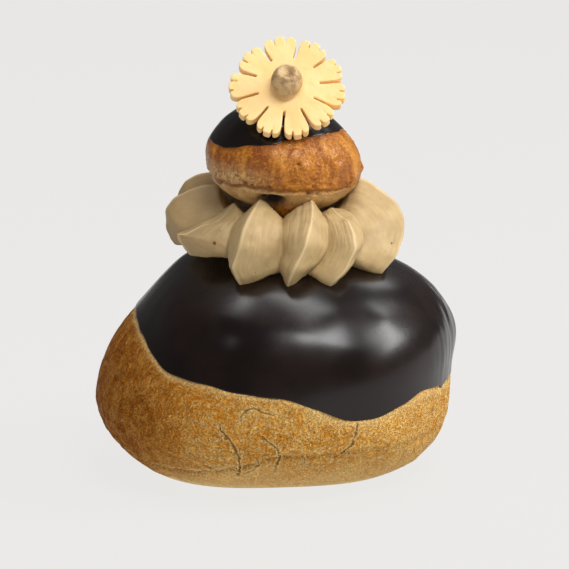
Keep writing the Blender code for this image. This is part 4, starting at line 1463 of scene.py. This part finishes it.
def sugar_bead(sizes):
    """A squashed ball with a dimple, sunk a little into the flower."""
    turns = columns_round(BEAD_COLUMNS)
    climbs = np.linspace(*BEAD_ENDS, BEAD_ROWS)[:, None]
    radius = sizes.bead_radius * cos_deg(climbs) ** BEAD_ROUND
    x, y = radius * cos_deg(turns), radius * sin_deg(turns)
    lower = np.clip(-y / sizes.bead_radius, 0, 1)
    x, y = x * (1 - BEAD_TAPER * lower), y * (1 + BEAD_STRETCH * lower)
    widest = sizes.bead_height * BEAD_WIDEST
    upper = widest + (sizes.bead_height - widest) * sin_deg(climbs)
    height = np.where(climbs > 0, upper, widest * (1 + sin_deg(climbs))) + 0 * x
    away = np.hypot(x - BEAD_DIMPLE_OFFSET[0], y - BEAD_DIMPLE_OFFSET[1]) / BEAD_DIMPLE_RADIUS
    dimple = BEAD_DIMPLE_DEPTH * (bump(away) - 0.25 * bump((away - 1.7) / 0.6))
    height = height - dimple * step_up(0, 25, climbs)
    points = np.stack([x, y, height], -1)
    points = points + outward_normals(points) * grain(points, *BEAD_GRAIN)[..., None]
    place = flower_place()
    turned = points @ np.array(place.to_3x3()).T + np.array(place.translation)
    first = place @ Vector((0, 0, -BEAD_SINK))
    last = turned[-1].mean(0)
    return closed_surface("sugar_bead", turned, first, last)


# Settings.


def length(name, description, default):
    return FloatProperty(
        name=name, description=description, default=default, min=0, unit="LENGTH", precision=4
    )


def colour(name, description, default):
    return FloatVectorProperty(
        name=name, description=description, default=default, size=3, subtype="COLOR", min=0, max=1
    )


class PastrySizes(bpy.types.PropertyGroup):
    """Sizes of the pastry's finish."""

    crust_relief: FloatProperty(
        name="Crust relief",
        description="Depth of the crusts' grain, cracks and pits, as a share of the usual depth",
        default=1.0,
        min=0,
        max=2,
        subtype="FACTOR",
    )
    coat_thickness: length("Coat", "Thickness of the large bun's chocolate coat", COAT_THICKNESS)
    small_coat_thickness: length(
        "Small coat", "Thickness of the small bun's chocolate coat", SMALL_COAT_THICKNESS
    )
    ridge_sharpness: FloatProperty(
        name="Ridge sharpness",
        description="How sharply the cream's ridges rise: 1 is plump, more is sharper",
        default=1.0,
        min=0.5,
        max=3,
    )
    flower_radius: length("Flower", "Radius of the sugar flower", FLOWER_RADIUS)
    flower_thickness: length("Petals", "Thickness of the sugar flower", FLOWER_THICKNESS)
    petal_lift: length("Petal lift", "How far petals rise or sink at their tips", 0.25 * MM)
    bead_radius: length("Bead", "Radius of the sugar bead", BEAD_RADIUS)
    bead_height: length("Bead height", "Height of the sugar bead", BEAD_HEIGHT)


class PastryColours(bpy.types.PropertyGroup):
    """Colours of the pastry and its stage, as linear RGB."""

    crust: colour("Crust", "Golden crust of the large bun", (0.90, 0.50, 0.115))
    crust_toasted: colour("Toasted crust", "Blotches of the large bun", (0.72, 0.28, 0.022))
    crust_brown: colour("Brown crust", "Where the large bun baked darker", (0.27, 0.074, 0.003))
    crust_pale: colour("Pale crust", "Dry specks, the rim and the foot", (0.95, 0.66, 0.27))
    # Painted shade in the cracks, pits, fold line, crease, dent and air holes; it also darkens real
    # spots on the crust's left.
    crack: colour("Cracks", "Depth of cracks and pits", (0.13, 0.038, 0.006))
    amber: colour("Amber crust", "Shiny crust of the small bun", (0.47, 0.165, 0.011))
    amber_gold: colour("Golden amber", "Brighter streaks of the small bun", (0.64, 0.28, 0.042))
    amber_brown: colour("Brown amber", "Where the small bun baked darker", (0.235, 0.055, 0.003))
    amber_pale: colour("Pale amber", "Underside of the small bun", (0.62, 0.41, 0.17))
    # Also painted as the shadow in the small bun's dent above its nub.
    chocolate: colour("Chocolate", "Coat of the large bun", (0.0055, 0.0024, 0.0018))
    glossy_chocolate: colour("Glossy chocolate", "Coat of the small bun", (0.005, 0.0028, 0.002))
    cream: colour("Cream", "Coffee cream", (0.54, 0.385, 0.185))
    cream_deep: colour("Deep cream", "Streaks in the cream", (0.42, 0.285, 0.13))
    # Painted highlight on the cream's crests, partly their paler dried edges.
    cream_pale: colour("Pale cream", "Crests of the cream", (0.68, 0.52, 0.29))
    # Painted shade on the cream's left side.
    cream_shade: colour("Shaded cream", "The cream on the left", (0.27, 0.18, 0.085))
    sugar: colour("Sugar paste", "Petals", (0.92, 0.635, 0.30))
    sugar_deep: colour("Deep sugar paste", "Clouding of the petals", (0.90, 0.59, 0.235))
    bead: colour("Bead", "Sugar bead", (0.31, 0.18, 0.075))
    bead_pale: colour("Pale bead", "Clouding of the sugar bead", (0.52, 0.35, 0.165))
    floor: colour("Floor", "Studio floor", (0.81, 0.80, 0.785))


# Operators.


def dress(piece, material, node):
    """The piece takes its one finish, stands for a node of the solid model and rides on it."""
    mesh = piece.data
    mesh.materials.clear()
    mesh.materials.append(material)
    mesh.polygons.foreach_set("material_index", [0] * len(mesh.polygons))
    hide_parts(node)
    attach(piece, "root")


class AddLargeBun(bpy.types.Operator):
    """Adds the large bun's golden crust"""

    bl_idname = "pastry.add_large_bun"
    bl_label = "Large bun"

    def execute(self, context):
        piece = large_bun(context.scene.pastry_sizes)
        material = crust_material(context.scene.pastry_colours)
        dress(piece, material, "large_bun")
        return {"FINISHED"}


class AddLargeCoat(bpy.types.Operator):
    """Adds the chocolate coat over the large bun"""

    bl_idname = "pastry.add_large_coat"
    bl_label = "Large coat"

    def execute(self, context):
        piece = large_coat(context.scene.pastry_sizes)
        colour = context.scene.pastry_colours.chocolate
        material = chocolate_material("satin_chocolate", colour, 0.25)
        dress(piece, material, "large_coat")
        return {"FINISHED"}


class AddSmallBun(bpy.types.Operator):
    """Adds the small bun's amber crust"""

    bl_idname = "pastry.add_small_bun"
    bl_label = "Small bun"

    def execute(self, context):
        piece = small_bun(context.scene.pastry_sizes)
        material = amber_material(context.scene.pastry_colours)
        dress(piece, material, "small_bun")
        return {"FINISHED"}


class AddSmallCoat(bpy.types.Operator):
    """Adds the glossy chocolate cap of the small bun"""

    bl_idname = "pastry.add_small_coat"
    bl_label = "Small coat"

    def execute(self, context):
        piece = small_coat(context.scene.pastry_sizes)
        colour = context.scene.pastry_colours.glossy_chocolate
        material = chocolate_material("mirror_chocolate", colour, 0.22)
        dress(piece, material, "small_coat")
        return {"FINISHED"}


class AddCream(bpy.types.Operator):
    """Pipes the collar of coffee cream between the buns, which have to be there already"""

    bl_idname = "pastry.add_cream"
    bl_label = "Cream"

    def execute(self, context):
        material = cream_material(context.scene.pastry_colours)
        piece = cream_collar(context.scene.pastry_sizes, material)
        dress(piece, material, "cream_collar")
        return {"FINISHED"}


class AddFlower(bpy.types.Operator):
    """Adds the sugar flower"""

    bl_idname = "pastry.add_flower"
    bl_label = "Flower"

    def execute(self, context):
        material = sugar_material(context.scene.pastry_colours)
        piece = sugar_flower(context.scene.pastry_sizes, material)
        dress(piece, material, "flower")
        return {"FINISHED"}


class AddBead(bpy.types.Operator):
    """Adds the sugar bead in the middle of the flower"""

    bl_idname = "pastry.add_bead"
    bl_label = "Bead"

    def execute(self, context):
        piece = sugar_bead(context.scene.pastry_sizes)
        material = bead_material(context.scene.pastry_colours)
        dress(piece, material, "flower_centre")
        return {"FINISHED"}


def add_light(name, azimuth, elevation, distance, size, power, mirrored):
    """A flat light seen from the pastry at this azimuth and elevation, facing it."""
    light = bpy.data.lights.new(name, "AREA")
    light.shape = "RECTANGLE"
    light.size, light.size_y = size
    light.energy = power
    lamp = bpy.data.objects.new(name, light)
    lamp.visible_glossy = mirrored
    bpy.context.scene.collection.objects.link(lamp)
    flat = distance * math.cos(math.radians(elevation))
    up = distance * math.sin(math.radians(elevation))
    lamp.location = LIGHTS_AIM + Vector(at(azimuth, flat, up))
    lamp.rotation_euler = (LIGHTS_AIM - lamp.location).to_track_quat("-Z", "Y").to_euler()


def add_floor(scene):
    corners = [(x * FLOOR_HALF, y * FLOOR_HALF, 0) for x, y in ((-1, -1), (1, -1), (1, 1), (-1, 1))]
    mesh = bpy.data.meshes.new("floor")
    mesh.from_pydata(corners, [], [(0, 1, 2, 3)])
    mesh.materials.append(floor_material(scene.pastry_colours))
    floor = bpy.data.objects.new("floor", mesh)
    scene.collection.objects.link(floor)


def add_world(scene):
    world = bpy.data.worlds.new("studio")
    world.use_nodes = True
    background = world.node_tree.nodes["Background"]
    background.inputs["Color"].default_value = (1, 1, 1, 1)
    background.inputs["Strength"].default_value = WORLD_STRENGTH
    scene.world = world
    scene.view_settings.view_transform = "Standard"


def add_camera(scene):
    lens = bpy.data.cameras.new("camera")
    lens.sensor_width = SENSOR_WIDTH
    lens.lens = SENSOR_WIDTH * CAMERA_DISTANCE / FRAME_WIDTH
    camera = bpy.data.objects.new("camera", lens)
    scene.collection.objects.link(camera)
    back = at(0, CAMERA_DISTANCE * math.cos(math.radians(CAMERA_ELEVATION)), 0)
    camera.location = CAMERA_TARGET + Vector(back)
    camera.location.z += CAMERA_DISTANCE * math.sin(math.radians(CAMERA_ELEVATION))
    camera.rotation_euler = (math.radians(90 - CAMERA_ELEVATION), 0, 0)
    scene.camera = camera


class AddStage(bpy.types.Operator):
    """Adds the floor, the lights and the camera"""

    bl_idname = "pastry.add_stage"
    bl_label = "Stage"

    def execute(self, context):
        add_floor(context.scene)
        for light in LIGHTS:
            add_light(*light)
        add_world(context.scene)
        add_camera(context.scene)
        return {"FINISHED"}


class PastryPanel(bpy.types.Panel):
    """Lists the pastry's settings and pieces"""

    bl_idname = "VIEW3D_PT_religieuse"
    bl_label = "Religieuse"
    bl_space_type = "VIEW_3D"
    bl_region_type = "UI"
    bl_category = "Religieuse"

    def draw(self, context):
        column = self.layout.column()
        for settings in (context.scene.pastry_sizes, context.scene.pastry_colours):
            for name in settings.__annotations__:
                column.prop(settings, name)
        for operator in OPERATORS:
            column.operator(operator.bl_idname)


# In the order in which the pieces are made: the cream is laid on the pieces before it.
OPERATORS = (
    AddLargeBun,
    AddLargeCoat,
    AddSmallBun,
    AddSmallCoat,
    AddCream,
    AddFlower,
    AddBead,
    AddStage,
)
CLASSES = (PastrySizes, PastryColours, *OPERATORS, PastryPanel)


def register():
    for item in CLASSES:
        bpy.utils.register_class(item)
    bpy.types.Scene.pastry_sizes = PointerProperty(type=PastrySizes)
    bpy.types.Scene.pastry_colours = PointerProperty(type=PastryColours)


def unregister():
    del bpy.types.Scene.pastry_colours
    del bpy.types.Scene.pastry_sizes
    for item in reversed(CLASSES):
        bpy.utils.unregister_class(item)


def main():
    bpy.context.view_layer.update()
    register()
    for operator in OPERATORS:
        group, name = operator.bl_idname.split(".")
        getattr(getattr(bpy.ops, group), name)()


if __name__ == "__main__":
    main()
